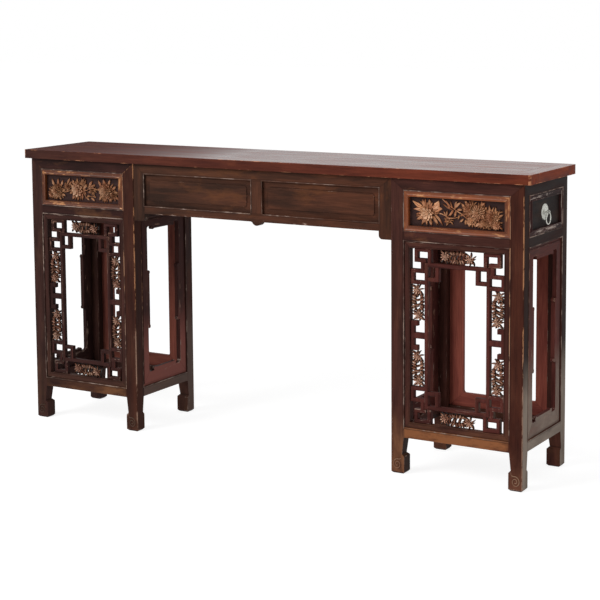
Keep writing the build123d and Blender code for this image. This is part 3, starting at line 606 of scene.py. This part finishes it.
for side in SIDES:
    rubbed_leg, rubbed_border = ("front_outer_leg", 3.6) if side == "right" else ("front_inner_leg", 2.2)
    for leg in ("front_outer_leg", "front_inner_leg", "back_outer_leg", "back_inner_leg"):
        if leg == rubbed_leg:
            dress(f"{side}_{leg}", rubbed_lacquer, ease=0.8, border=rubbed_border)
        else:
            dress(f"{side}_{leg}", dark_lacquer, ease=0.8)
    for part, lacquer, ease, border in (
            ("front_rails", rail_lacquer, 0.6, 3.2), ("back_rails", dark_lacquer, 0.6, 3.2),
            ("end_rails", dark_lacquer, 0.6, 3.2), ("front_moulding", gilt_moulding, 0.0, 1.6),
            ("front_panel", panel_ground, 0.0, 3.2),
            ("closing_panels", dark_lacquer, 0.0, 3.2), ("lattice_frame", dark_lacquer, 0.0, 3.2),
            ("lattice_fret", red_lacquer, 1.2, 2.0), ("outer_cusped_frame", red_lacquer, 0.7, 3.2),
            ("inner_cusped_frame", red_lacquer, 0.7, 3.2), ("back_cusped_frame", inner_red_painted_light, 0.7, 3.2),
            ("drawer_front", drawer_lacquer, 0.0, 3.2), ("drawer_moulding", drawer_moulding_lacquer, 0.0, 1.3)):
        dress(f"{side}_{part}", lacquer, ease=ease, border=border, beads=part != "front_moulding")
for part in ("top_rail", "bottom_rail", "muntin", "end_stiles", "panels"):
    dress(f"apron_{part}", apron_lacquer, ease=0.6)
dress("back_apron_frame", dark_lacquer, ease=0.6)
dress("back_apron_panels", dark_lacquer)
for part in ("front_stile", "back_stile", "end_rails", "boards"):
    dress(f"top_{part}", top_lacquer, ease=0.8, beads=False, side_material=top_edge_lacquer)


# ---- Carving ---------------------------------------------------------------------------------
# Carvings are made in millimetres in a local frame: u along the face, v up, n out of the wood.
CROWNS = {
    "leaf": ((1.0, 0.0), (0.8, 0.62), (0.45, 1.0), (0.12, 0.86), (0.0, 0.5), (-0.12, 0.86), (-0.45, 1.0),
             (-0.8, 0.62), (-1.0, 0.0)),
    "petal": ((1.0, 0.0), (0.86, 0.95), (0.4, 0.62), (0.0, 0.5), (-0.4, 0.62), (-0.86, 0.95), (-1.0, 0.0)),
    "stem": ((1.0, 0.0), (0.7, 0.72), (0.0, 1.0), (-0.7, 0.72), (-1.0, 0.0)),
}


def sweep(bm, rings):
    """Joins rings of corners, each a list of places, into one closed solid."""
    rows = [[bm.verts.new(corner) for corner in ring] for ring in rings]
    count = len(rows[0])
    for lower, upper in zip(rows, rows[1:]):
        for i in range(count):
            n = (i + 1) % count
            bm.faces.new((lower[i], lower[n], upper[n], upper[i]))
    bm.faces.new(list(reversed(rows[0])))
    bm.faces.new(rows[-1])


def section(centre, along, half, low, tall, crown, sink):
    """One ring of a stroke: its modelled back from low up to tall, its root sunk into the wood."""
    across = Vector((-along.y, along.x))
    ring = [(*(centre + across * half * a), low + tall * h) for a, h in CROWNS[crown]]
    return ring + [(*(centre + across * half * a), low - sink) for a in (-0.85, 0.85)]


def stroke(bm, start, tip, bow=0.0, width=6.0, height=3.0, base=0.0, lift=0.0, crown="leaf", lobes=0,
           root=0.35, sink=1.5, steps=8, blunt=1.0):
    """One chisel-shaped stroke from start to tip: a closed leaf, petal or stem with a modelled back.

    bow bends it sideways by that share of its length, lift raises the tip, lobes notch its sides,
    root says how far it has swelled where it starts and a blunt under 1 rounds its tip.
    """
    start, tip = Vector(start), Vector(tip)
    run = tip - start
    bend = (start + tip) / 2 + Vector((-run.y, run.x)) * bow
    rings = []
    for k in range(steps + 1):
        t = k / steps
        centre = start * (1 - t) ** 2 + bend * 2 * t * (1 - t) + tip * t ** 2
        along = ((bend - start) * (1 - t) + (tip - bend) * t).normalized()
        if crown == "stem":
            half = width / 2 * (1 - 0.45 * t)
        else:
            swell = math.sin(math.pi * min(1.0, root + (1 - root) * t) ** 1.15)
            half = width / 2 * max(swell, 0.0) ** blunt + 0.02
            if lobes:
                half *= 1 - 0.3 * abs(math.sin(math.pi * lobes * t)) * (1 - t)
        tall = height * (0.55 + 0.45 * math.sin(math.pi * min(1.0, 0.25 + 0.75 * t)))
        rings.append(section(centre, along, half, base + lift * t * t, tall, crown, sink))
    sweep(bm, rings)


def button(bm, centre, radius, low, high):
    """The closed dome at a flower's heart, from low to high."""
    place = Matrix.Translation((centre[0], centre[1], (low + high) / 2))
    place @= Matrix.Diagonal((radius, radius, (high - low) / 2, 1))
    bmesh.ops.create_icosphere(bm, subdivisions=2, radius=1.0, matrix=place)


def petal_ring_tree():
    """Geometry nodes that set one petal round a ring of points, each a little unlike its neighbour."""
    tree = bpy.data.node_groups.new("petal_ring", "GeometryNodeTree")
    for name, kind in (("Petal", "Geometry"), ("Count", "Int"), ("Radius", "Float"), ("Tilt", "Float"),
                       ("Size", "Float"), ("Turn", "Float"), ("Unevenness", "Float"), ("Seed", "Int"),
                       ("Wood", "Material")):
        tree.interface.new_socket(name, in_out="INPUT", socket_type="NodeSocket" + kind)
    tree.interface.new_socket("Ring", in_out="OUTPUT", socket_type="NodeSocketGeometry")
    put = partial(add, tree)
    given = put("NodeGroupInput").outputs
    ring = put("GeometryNodeMeshCircle", {"Vertices": given["Count"], "Radius": given["Radius"]})
    x, y, _ = put("SeparateXYZ", (put("GeometryNodeInputPosition"),)).outputs
    angle = put("Math", (y, x), operation="ARCTAN2")
    spread = put("FunctionNodeRandomValue", {2: -1.0, 3: 1.0, "Seed": given["Seed"]}, data_type="FLOAT")
    jitter = put("Math", (spread, given["Unevenness"]), operation="MULTIPLY")
    turned = put("Math", (angle, jitter), operation="ADD")
    tilt = put("Math", (given["Tilt"], jitter), operation="ADD")
    lean = put("Math", (tilt, -1.0), operation="MULTIPLY")
    rotation = put("CombineXYZ", (jitter, lean, turned))
    grow = put("Math", (jitter, 1.0), operation="ADD")
    size = put("Math", (grow, given["Size"]), operation="MULTIPLY")
    petals = put("GeometryNodeInstanceOnPoints", {"Points": ring, "Instance": given["Petal"],
                                                  "Rotation": rotation, "Scale": size})
    turn = put("CombineXYZ", {"Z": given["Turn"]})
    placed = put("GeometryNodeTransform", {"Geometry": petals, "Rotation": turn})
    real = put("GeometryNodeRealizeInstances", {"Geometry": placed})
    wood = put("GeometryNodeSetMaterial", {"Geometry": real, "Material": given["Wood"]})
    put("NodeGroupOutput", (wood,))
    return tree


def petal_mesh(length, width, height, curl):
    """One petal from the origin along +u, its tip curled up."""
    bm = bmesh.new()
    stroke(bm, (0, 0), (length, 0), width=width, height=height, lift=curl, crown="petal", root=0.3,
           sink=1.6, steps=5, blunt=0.6)
    bmesh.ops.recalc_face_normals(bm, faces=bm.faces)
    return new_mesh("petal", bm)


PETAL_RING = petal_ring_tree()
PETALS = {"broad": petal_mesh(10.0, 7.5, 2.2, 1.5), "narrow": petal_mesh(10.0, 3.6, 1.8, 1.2)}


def petal_ring(bm, centre, level, petal, wood, **sizes):
    """Adds one ring of petals about a centre to a carving."""
    petals = new_object("petals", PETALS[petal])
    modifier = petals.modifiers.new("petal_ring", "NODES")
    modifier.node_group = PETAL_RING
    values = {"Wood": wood, **sizes}
    for item in PETAL_RING.interface.items_tree:
        if item.in_out == "INPUT" and item.name in values:
            modifier[item.identifier] = values[item.name]
    ready = petals.evaluated_get(bpy.context.evaluated_depsgraph_get())
    mesh = bpy.data.meshes.new_from_object(ready)
    mesh.transform(Matrix.Translation((centre[0], centre[1], level)))
    bm.from_mesh(mesh)
    petals.modifiers.remove(modifier)
    bpy.data.objects.remove(petals)
    bpy.data.meshes.remove(mesh)


# rings of a flower, outermost first: petal, count, ring radius, level, tilt, size, as shares of its radius
FLOWERS = {
    "peony": (("broad", 9, 0.36, 0.4, 0.05, 0.066), ("broad", 8, 0.26, 1.5, 0.18, 0.060),
              ("broad", 7, 0.17, 2.7, 0.38, 0.052), ("broad", 5, 0.08, 4.0, 0.70, 0.040)),
    "chrysanthemum": (("narrow", 21, 0.40, 0.2, 0.03, 0.064), ("narrow", 18, 0.30, 1.3, 0.15, 0.060),
                      ("narrow", 15, 0.21, 2.4, 0.32, 0.052), ("narrow", 11, 0.13, 3.5, 0.54, 0.044),
                      ("narrow", 7, 0.06, 4.6, 0.85, 0.032)),
    "open": (("narrow", 9, 0.30, 0.6, 0.15, 0.085), ("narrow", 6, 0.12, 2.4, 0.50, 0.060)),
}


def blossom(bm, kind, centre, radius, level, seed, wood, sink=1.5):
    """A whole flower: rings of petals round a button, rising towards its heart."""
    button(bm, centre, radius * (0.3 if kind == "open" else 0.5), level - sink, level + 0.12 * radius)
    for k, (petal, count, ring, rise, tilt, size) in enumerate(FLOWERS[kind]):
        petal_ring(bm, centre, level + rise * radius / 25, petal, wood, Count=count, Radius=radius * ring,
                   Tilt=tilt, Size=radius * size, Turn=0.7 * k + seed, Unevenness=0.12, Seed=seed * 10 + k)
    button(bm, centre, radius * 0.12, level, level + 0.3 * radius)


def rays(bm, rng, centre, radius, count, reach, width, height, base, sink):
    """Leaves fanned out behind a flower, from near its heart: long ones at the bottom, short ones on them."""
    for k in range(2 * count):
        share, raised = (0.76, 1.4) if k % 2 else (1.0, 0.0)
        angle = math.tau * (k + rng.uniform(-0.6, 0.6)) / (2 * count)
        way = Vector((math.cos(angle), math.sin(angle)))
        stroke(bm, Vector(centre) + way * radius, Vector(centre) + way * reach(way) * share,
               bow=rng.uniform(-0.28, 0.28), width=rng.uniform(0.75, 1.15) * width, height=height,
               base=rng.uniform(*base) + raised, lift=rng.uniform(0.2, 1.8), root=0.25, sink=sink, blunt=0.7)


def finish_carving(bm, name, wood, placements, replaced=None):
    """Turns a local carving into one riding piece, copied to each (matrix) placement."""
    bmesh.ops.recalc_face_normals(bm, faces=bm.faces)
    local = new_mesh(name + "_local", bm)
    whole = bmesh.new()
    for place in placements:
        copy = local.copy()
        copy.transform(place)
        if place.determinant() < 0:
            copy.flip_normals()
        whole.from_mesh(copy)
    mesh = new_mesh(name, whole)
    mesh.materials.clear()
    mesh.materials.append(wood)
    for polygon in mesh.polygons:
        polygon.use_smooth = True
        polygon.material_index = 0
    mesh.set_sharp_from_angle(angle=math.radians(50))
    add_piece(name, mesh, "frame", replaced)


def on_front(x, z, y, scale=(1, 1), turn=0.0):
    """The matrix that sets a local carving on the front: its origin to x, y, z in millimetres."""
    face = Matrix(((MM, 0, 0, x * MM), (0, 0, -MM, y * MM), (0, MM, 0, z * MM), (0, 0, 0, 1)))
    return face @ Matrix.Rotation(turn, 4, "Z") @ Matrix.Diagonal((scale[0], scale[1], 1, 1))


# Places on the front panels: u from the panel's visible left edge, v from its lower edge, n from its face.
# A blossom is its kind, centre, radius, level and how far its leaves reach, as a share of the radius.
# A leaf or stem is the u and v of its start, then of its tip, its width and its bow where that isn't 0.1.
RIGHT_BLOSSOMS = (("peony", (66, 46), 25, 2.5, 1.95), ("chrysanthemum", (222, 66), 25, 1.0, 1.5),
                  ("chrysanthemum", (250, 58), 27, 3.0, 1.45), ("peony", (228, 33), 18, 1.0, 1.6),
                  ("chrysanthemum", (277, 26), 20, 2.0, 1.6), ("chrysanthemum", (300, 42), 23, 2.5, 1.75),
                  ("peony", (315, 20), 15, 3.5, 1.5), ("peony", (143, 27), 9, 1.0, 1.9))
RIGHT_LEAVES = (
    (58, 60, 10, 86, 17, 0.12), (50, 52, 13, 56, 11, -0.15), (52, 38, 25, 22, 11), (60, 30, 47, 8, 12, -0.1),
    (76, 26, 80, 5, 11, 0.08), (56, 66, 50, 92, 10), (72, 68, 74, 93, 11, -0.1), (86, 62, 108, 90, 24, -0.25),
    (90, 48, 122, 62, 20, 0.3), (92, 44, 124, 6, 9), (86, 36, 108, 8, 8, 0.06), (38, 44, 22, 40, 8),
    (150, 64, 127, 94, 7, -0.12), (158, 62, 120, 82, 6), (160, 66, 150, 93, 6), (166, 66, 190, 88, 10, 0.15),
    (166, 72, 176, 92, 8), (160, 62, 142, 40, 9, 0.2), (172, 58, 168, 34, 9, -0.2),
    (176, 62, 196, 62, 9, 0.2), (150, 72, 138, 66, 7), (140, 34, 126, 58, 7), (138, 40, 140, 60, 6),
    (150, 40, 160, 56, 6), (146, 26, 128, 20, 6, 0.2), (146, 24, 133, 6, 6), (148, 26, 161, 10, 6),
    (148, 28, 165, 24, 5), (182, 46, 176, 30, 7, 0.2), (188, 42, 204, 52, 8, 0.2), (198, 34, 184, 22, 7),
    (206, 32, 204, 14, 9), (214, 26, 222, 8, 9), (204, 74, 190, 82, 10), (210, 84, 206, 95, 8),
    (226, 88, 232, 97, 8), (262, 80, 276, 92, 9), (272, 66, 284, 78, 9), (288, 48, 282, 74, 9),
    (294, 52, 291, 86, 9, 0.05), (302, 54, 300, 74, 8, 0.05), (312, 52, 313, 82, 9, 0.05),
    (318, 46, 330, 72, 7), (320, 38, 337, 52, 6), (324, 26, 341, 30, 6), (322, 16, 340, 6, 7),
    (304, 10, 312, 4, 7), (256, 26, 240, 10, 10), (262, 16, 258, 5, 8), (286, 12, 288, 4, 8),
    (322, 60, 342, 66, 5),
)
RIGHT_STEMS = (
    (122, 96, 176, 58, 4.5, -0.05), (176, 58, 214, 32, 4.5), (112, 47, 142, 34, 4.5, 0.15),
    (140, 34, 178, 38, 4.5, -0.12), (134, 90, 158, 66, 3.5, 0.05),
)

LEFT_BLOSSOMS = (("chrysanthemum", (50, 34), 27, 2.0, 1.4), ("peony", (150, 46), 27, 2.5, 1.5),
                 ("chrysanthemum", (285, 46), 29, 2.5, 1.5), ("peony", (176, 72), 13, 1.5, 1.7),
                 ("peony", (22, 22), 13, 1.5, 1.5), ("chrysanthemum", (318, 34), 16, 1.5, 1.5),
                 ("chrysanthemum", (218, 48), 14, 1.0, 1.9), ("peony", (100, 54), 12, 1.0, 1.9))
LEFT_LEAVES = (
    (38, 56, 27, 84, 11), (54, 58, 58, 86, 11, 0.05), (68, 52, 82, 82, 11), (24, 40, 8, 46, 8),
    (20, 26, 6, 30, 6), (30, 14, 18, 6, 8), (60, 12, 72, 5, 8), (76, 38, 94, 44, 9), (74, 26, 92, 18, 9),
    (100, 62, 116, 90, 10, 0.15), (108, 60, 126, 78, 9), (98, 56, 90, 74, 8), (128, 58, 116, 66, 9),
    (132, 64, 128, 86, 11), (150, 70, 148, 93, 10), (168, 60, 188, 84, 18, -0.2), (172, 48, 200, 64, 12, 0.2),
    (126, 38, 110, 30, 10), (134, 26, 122, 8, 11), (152, 22, 150, 5, 10), (166, 30, 174, 8, 10),
    (176, 38, 192, 30, 9), (190, 18, 206, 8, 8), (192, 22, 212, 26, 8), (204, 56, 222, 84, 13, 0.15),
    (212, 54, 236, 70, 12), (206, 50, 226, 44, 10), (214, 18, 232, 6, 9), (222, 26, 238, 20, 8),
    (262, 64, 248, 88, 11), (278, 72, 274, 94, 10), (296, 70, 306, 92, 11), (258, 50, 240, 54, 10),
    (262, 32, 250, 10, 10), (280, 22, 276, 5, 10), (300, 24, 308, 6, 10), (312, 52, 334, 68, 10),
    (320, 44, 342, 44, 9), (326, 28, 342, 16, 8),
)
LEFT_STEMS = (
    (176, 40, 190, 14, 4, 0.15), (174, 42, 206, 54, 4, -0.2), (76, 36, 126, 50, 4, -0.25),
    (90, 62, 110, 44, 3.5), (206, 54, 262, 42, 4, 0.2), (190, 16, 226, 24, 3.5, 0.2),
)

MOULDING = 17.0  # width of the moulding round a front panel
FLOWER_FACE = -173.0  # y where the lattice flowers start, inside their blanks
FLOWER_BLANK = (128, 49)  # length and width that the lattice flowers are drawn for
SCROLL_HEIGHT = 33.0  # of the scroll's middle above the floor
panel_low, panel_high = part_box("right_front_moulding")
PANEL_LOW = panel_low[2] / MM + MOULDING
PANEL_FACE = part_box("right_front_panel")[0][1] / MM
PANEL_SPAN = [(panel_high[k] - panel_low[k]) / MM - 2 * MOULDING for k in (0, 2)]
PEDESTAL_X = (panel_low[0] + panel_high[0]) / 2 / MM


def spray(name, x, blossoms, leaves, stems, seed):
    """A spray of flowers in low relief on a front panel whose visible corner is at x."""
    rng = random.Random(seed)
    bm = bmesh.new()
    for *ends, width, bow in (row if len(row) == 6 else (*row, 0.1) for row in stems):
        stroke(bm, ends[:2], ends[2:], bow, width=width, height=3.2, base=3.0, crown="stem")
    for *ends, width, bow in (row if len(row) == 6 else (*row, 0.1) for row in leaves):
        stroke(bm, ends[:2], ends[2:], bow, width=width, height=3.4 + rng.uniform(-0.4, 0.6),
               base=rng.uniform(0.2, 2.2), lift=rng.uniform(0.0, 2.4), lobes=2 if width > 12 else 0, root=0.22)
    width, tall = PANEL_SPAN
    for k, (kind, centre, radius, level, leafy) in enumerate(blossoms):
        def reach(way):
            room_u = (width - centre[0] if way.x > 0 else centre[0]) / max(abs(way.x), 0.05)
            room_v = (tall - centre[1] if way.y > 0 else centre[1]) / max(abs(way.y), 0.05)
            return max(min(radius * leafy * rng.uniform(0.8, 1.15), room_u - 4, room_v - 3), radius * 0.8)
        blossom(bm, kind, centre, radius, level, seed + k, spray_gilt)
        rays(bm, rng, centre, radius * 0.5, round(radius * 0.4) + 5, reach, width=3.0 + radius * 0.17,
             height=3.2, base=(0.0, 1.6), sink=1.0)
    finish_carving(bm, name, spray_gilt, [on_front(x, PANEL_LOW, PANEL_FACE)])


def lattice_flowers(side):
    """The six pierced flowers of one lattice, in the places of their blanks.

    Each has a blossom at either end of an oval of overlapping leaves, with slanting slits at its heart.
    """
    rng = random.Random(5)
    bm = bmesh.new()
    half_long, half_wide = 65.0, 24.0
    for heart in ((-45.0, 2.0), (45.0, -2.0)):
        def to_rim(way):
            room = (half_long - abs(heart[0])) / max(way.x * math.copysign(1, heart[0]), 0.1)
            return min(room, half_wide / max(abs(way.y), 0.1), 27.0) * rng.uniform(0.86, 1.0)
        blossom(bm, "open", heart, 14.5, 3.0, 40 + round(heart[0]), flower_gilt, sink=8.0)
        rays(bm, rng, heart, 6.0, 8, to_rim, width=5.6, height=3.4, base=(0.0, 2.4), sink=8.0)
    for v in (-1, 1):
        for k in range(11):
            u = -30 + 6 * k + rng.uniform(-1.5, 1.5)
            tip = (u * 1.08 + rng.uniform(-5, 5), v * (half_wide - 0.006 * u * u - rng.uniform(0, 2)))
            stroke(bm, (u * 0.72, v * rng.uniform(7, 9)), tip, bow=rng.uniform(-0.3, 0.3), height=4.2,
                   width=rng.uniform(5.0, 8.0), base=0.4 + 2.4 * (k % 2), lift=1.8, root=0.3, sink=8.0, blunt=0.8)
    for k in range(7):
        u = -24 + 8 * k + rng.uniform(-2, 2)
        stroke(bm, (u - rng.uniform(0, 9), -12), (u + rng.uniform(0, 9), 12), bow=rng.uniform(-0.4, 0.4),
               width=rng.uniform(4.0, 6.5), height=3.8, base=rng.uniform(0.0, 3.4), root=0.3, sink=7.0)
    outward = 1 if side == "right" else -1
    places = []
    for part in solid_triangles[f"{side}_lattice_florets"]:
        low, high = place_box(part)
        x, _, z = ((a + b) / 2 / MM for a, b in zip(low, high))
        wide, tall = (high[0] - low[0]) / MM, (high[2] - low[2]) / MM
        if wide > tall:
            size, turn = (wide / FLOWER_BLANK[0], tall / FLOWER_BLANK[1]), 0.0
        else:
            flip = 1 if x * outward > PEDESTAL_X else -1
            size, turn = (tall / FLOWER_BLANK[0], flip * wide / FLOWER_BLANK[1]), math.pi / 2
        places.append(on_front(x, z, FLOWER_FACE, size, turn))
    finish_carving(bm, f"{side}_lattice_flowers", flower_gilt, places, f"{side}_lattice_florets")


def foot_scrolls():
    """A spiral ridge cut on the face of each front foot, its tail running to the foot's corner."""
    bm = bmesh.new()
    turns, outer, inner, ridge, steps = 1.6, 16.0, 3.0, 2.8, 32
    path = [Vector((-14.0, 21.0)), Vector((-8.0, 18.0))]
    for k in range(steps + 1):
        t = k / steps
        radius = outer * (1 - t) + inner * t
        angle = math.pi / 2 - math.tau * turns * t
        path.append(Vector((radius * math.cos(angle), 1.15 * radius * math.sin(angle))))
    rings = []
    for k, centre in enumerate(path):
        along = (path[min(k + 1, len(path) - 1)] - path[max(k - 1, 0)]).normalized()
        rings.append(section(centre, along, ridge / 2, 0.0, 1.2, "stem", 0.6))
    sweep(bm, rings)
    places = []
    for side, leg in (("left", "outer"), ("left", "inner"), ("right", "inner"), ("right", "outer")):
        low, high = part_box(f"{side}_front_{leg}_leg")
        turned = 1 if (side == "right") == (leg == "outer") else -1
        places.append(on_front((low[0] + high[0]) / 2 / MM, SCROLL_HEIGHT, low[1] / MM, (turned, 1)))
    finish_carving(bm, "foot_scrolls", scroll_gilt, places)


spray("right_carved_spray", panel_low[0] / MM + MOULDING, RIGHT_BLOSSOMS, RIGHT_LEAVES, RIGHT_STEMS, 7)
spray("left_carved_spray", -panel_high[0] / MM + MOULDING, LEFT_BLOSSOMS, LEFT_LEAVES, LEFT_STEMS, 19)
for side in SIDES:
    lattice_flowers(side)
foot_scrolls()


# ---- Metal and bare wood ---------------------------------------------------------------------
def smooth_ring(side):
    """The round wire of a drawer's ring pull, hanging in its eye."""
    around, about = 40, 12
    low, high = (Vector(corner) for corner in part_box(f"{side}_pull_ring"))
    middle, wire = (low + high) / 2, (high.x - low.x) / 2
    radius = (high.z - low.z) / 2 - wire
    bm = bmesh.new()
    rows = []
    for k in range(around):
        a = math.tau * k / around
        out = Vector((0, math.sin(a), math.cos(a)))
        rows.append([bm.verts.new(middle + out * (radius + wire * math.cos(b)) + Vector((wire * math.sin(b), 0, 0)))
                     for b in (math.tau * i / about for i in range(about))])
    for k in range(around):
        for i in range(about):
            n, m = (k + 1) % around, (i + 1) % about
            bm.faces.new((rows[k][i], rows[n][i], rows[n][m], rows[k][m])).smooth = True
    bmesh.ops.recalc_face_normals(bm, faces=bm.faces)
    mesh = new_mesh(f"{side}_smooth_ring", bm)
    mesh.materials.append(pull_metal)
    name = f"{side}_pull_ring"
    add_piece(f"{side}_smooth_ring", mesh, nodes[name]["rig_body"], name)


for side in SIDES:
    smooth_ring(side)
for name, node in nodes.items():
    if not node.hide_render:
        node.data.materials.clear()
        node.data.materials.append(pull_metal if "pull" in name else inside_wood)


# ---- Stage, light and camera -----------------------------------------------------------------
FLOOR_HALF = 30  # metres from the table to the floor's edge
CAMERA_PLACE = (3.0129, -4.9637, 1.6005)
CAMERA_ANGLES = (-30.660, 6.267, -0.430)  # yaw, pitch and roll in degrees
CAMERA_FOCAL = 1607  # in pixels, as the shift is
CAMERA_SHIFT = -120
PICTURE = 600  # its width in pixels
SENSOR = 36.0  # and in millimetres


def build_stage():
    """A wide pale floor that reads white and keeps a faint shadow, and a white world."""
    mesh = bpy.data.meshes.new("floor")
    corners = [(a * FLOOR_HALF, b * FLOOR_HALF, 0) for a, b in ((-1, -1), (1, -1), (1, 1), (-1, 1))]
    mesh.from_pydata(corners, [], [(0, 1, 2, 3)])
    floor = new_object("floor", mesh)
    material, put = new_material("floor_paper")
    paper = put("BsdfDiffuse", {"Color": colour("#f2f2f2")})
    glow = put("Emission", {"Color": (1, 1, 1, 1), "Strength": 1.3})
    path = put("LightPath").outputs
    seen = put("Math", (path["Is Camera Ray"], path["Is Glossy Ray"]), operation="MAXIMUM")
    share = put("Math", (seen, 0.64), operation="MULTIPLY")
    put("OutputMaterial", {"Surface": put("MixShader", (share, paper, glow))})
    mesh.materials.append(material)

    world = bpy.data.worlds.new("white_world")
    bpy.context.scene.world = world
    world.use_nodes = True
    world.node_tree.nodes.clear()
    put = partial(add, world.node_tree)
    path = put("LightPath").outputs
    seen = put("Math", (path["Is Camera Ray"], path["Is Glossy Ray"]), operation="MAXIMUM")
    seen = put("Math", (seen, path["Is Transmission Ray"]), operation="MAXIMUM")
    strength = put("MapRange", (seen, 0.0, 1.0, 0.55, 1.0))
    sky = put("Background", {"Color": (1, 1, 1, 1), "Strength": strength})
    put("OutputWorld", {"Surface": sky})


def soft_lamp(name, place, target, size, power):
    """A square soft box that shines from place towards target."""
    data = bpy.data.lights.new(name, "AREA")
    data.shape, data.size, data.energy = "SQUARE", size, power
    lamp = new_object(name, data)
    lamp.location = place
    lamp.rotation_euler = (Vector(target) - Vector(place)).to_track_quat("-Z", "Y").to_euler()


def build_camera():
    """The camera, at the place and angles that were fitted to the table's own corners."""
    data = bpy.data.cameras.new("camera")
    data.sensor_width = SENSOR
    data.lens = CAMERA_FOCAL / PICTURE * SENSOR
    data.shift_y = CAMERA_SHIFT / PICTURE
    camera = new_object("camera", data)
    yaw, pitch, roll = (math.radians(a) for a in CAMERA_ANGLES)
    forward = Vector((math.sin(yaw) * math.cos(pitch), math.cos(yaw) * math.cos(pitch), -math.sin(pitch)))
    level = Vector((math.cos(yaw), -math.sin(yaw), 0))
    upright = level.cross(forward)
    right = level * math.cos(roll) + upright * math.sin(roll)
    up = upright * math.cos(roll) - level * math.sin(roll)
    rows = [(right[k], up[k], -forward[k], CAMERA_PLACE[k]) for k in range(3)]
    camera.matrix_world = Matrix((*rows, (0, 0, 0, 1)))
    bpy.context.scene.camera = camera


build_stage()
soft_lamp("key", (-2.5, -4.0, 3.6), target=(0, 0, 0.6), size=2.5, power=180)
soft_lamp("fill", (4.5, -2.5, 2.2), target=(0.6, 0, 0.5), size=2.0, power=14)
build_camera()
bpy.context.scene.view_settings.view_transform = "Standard"
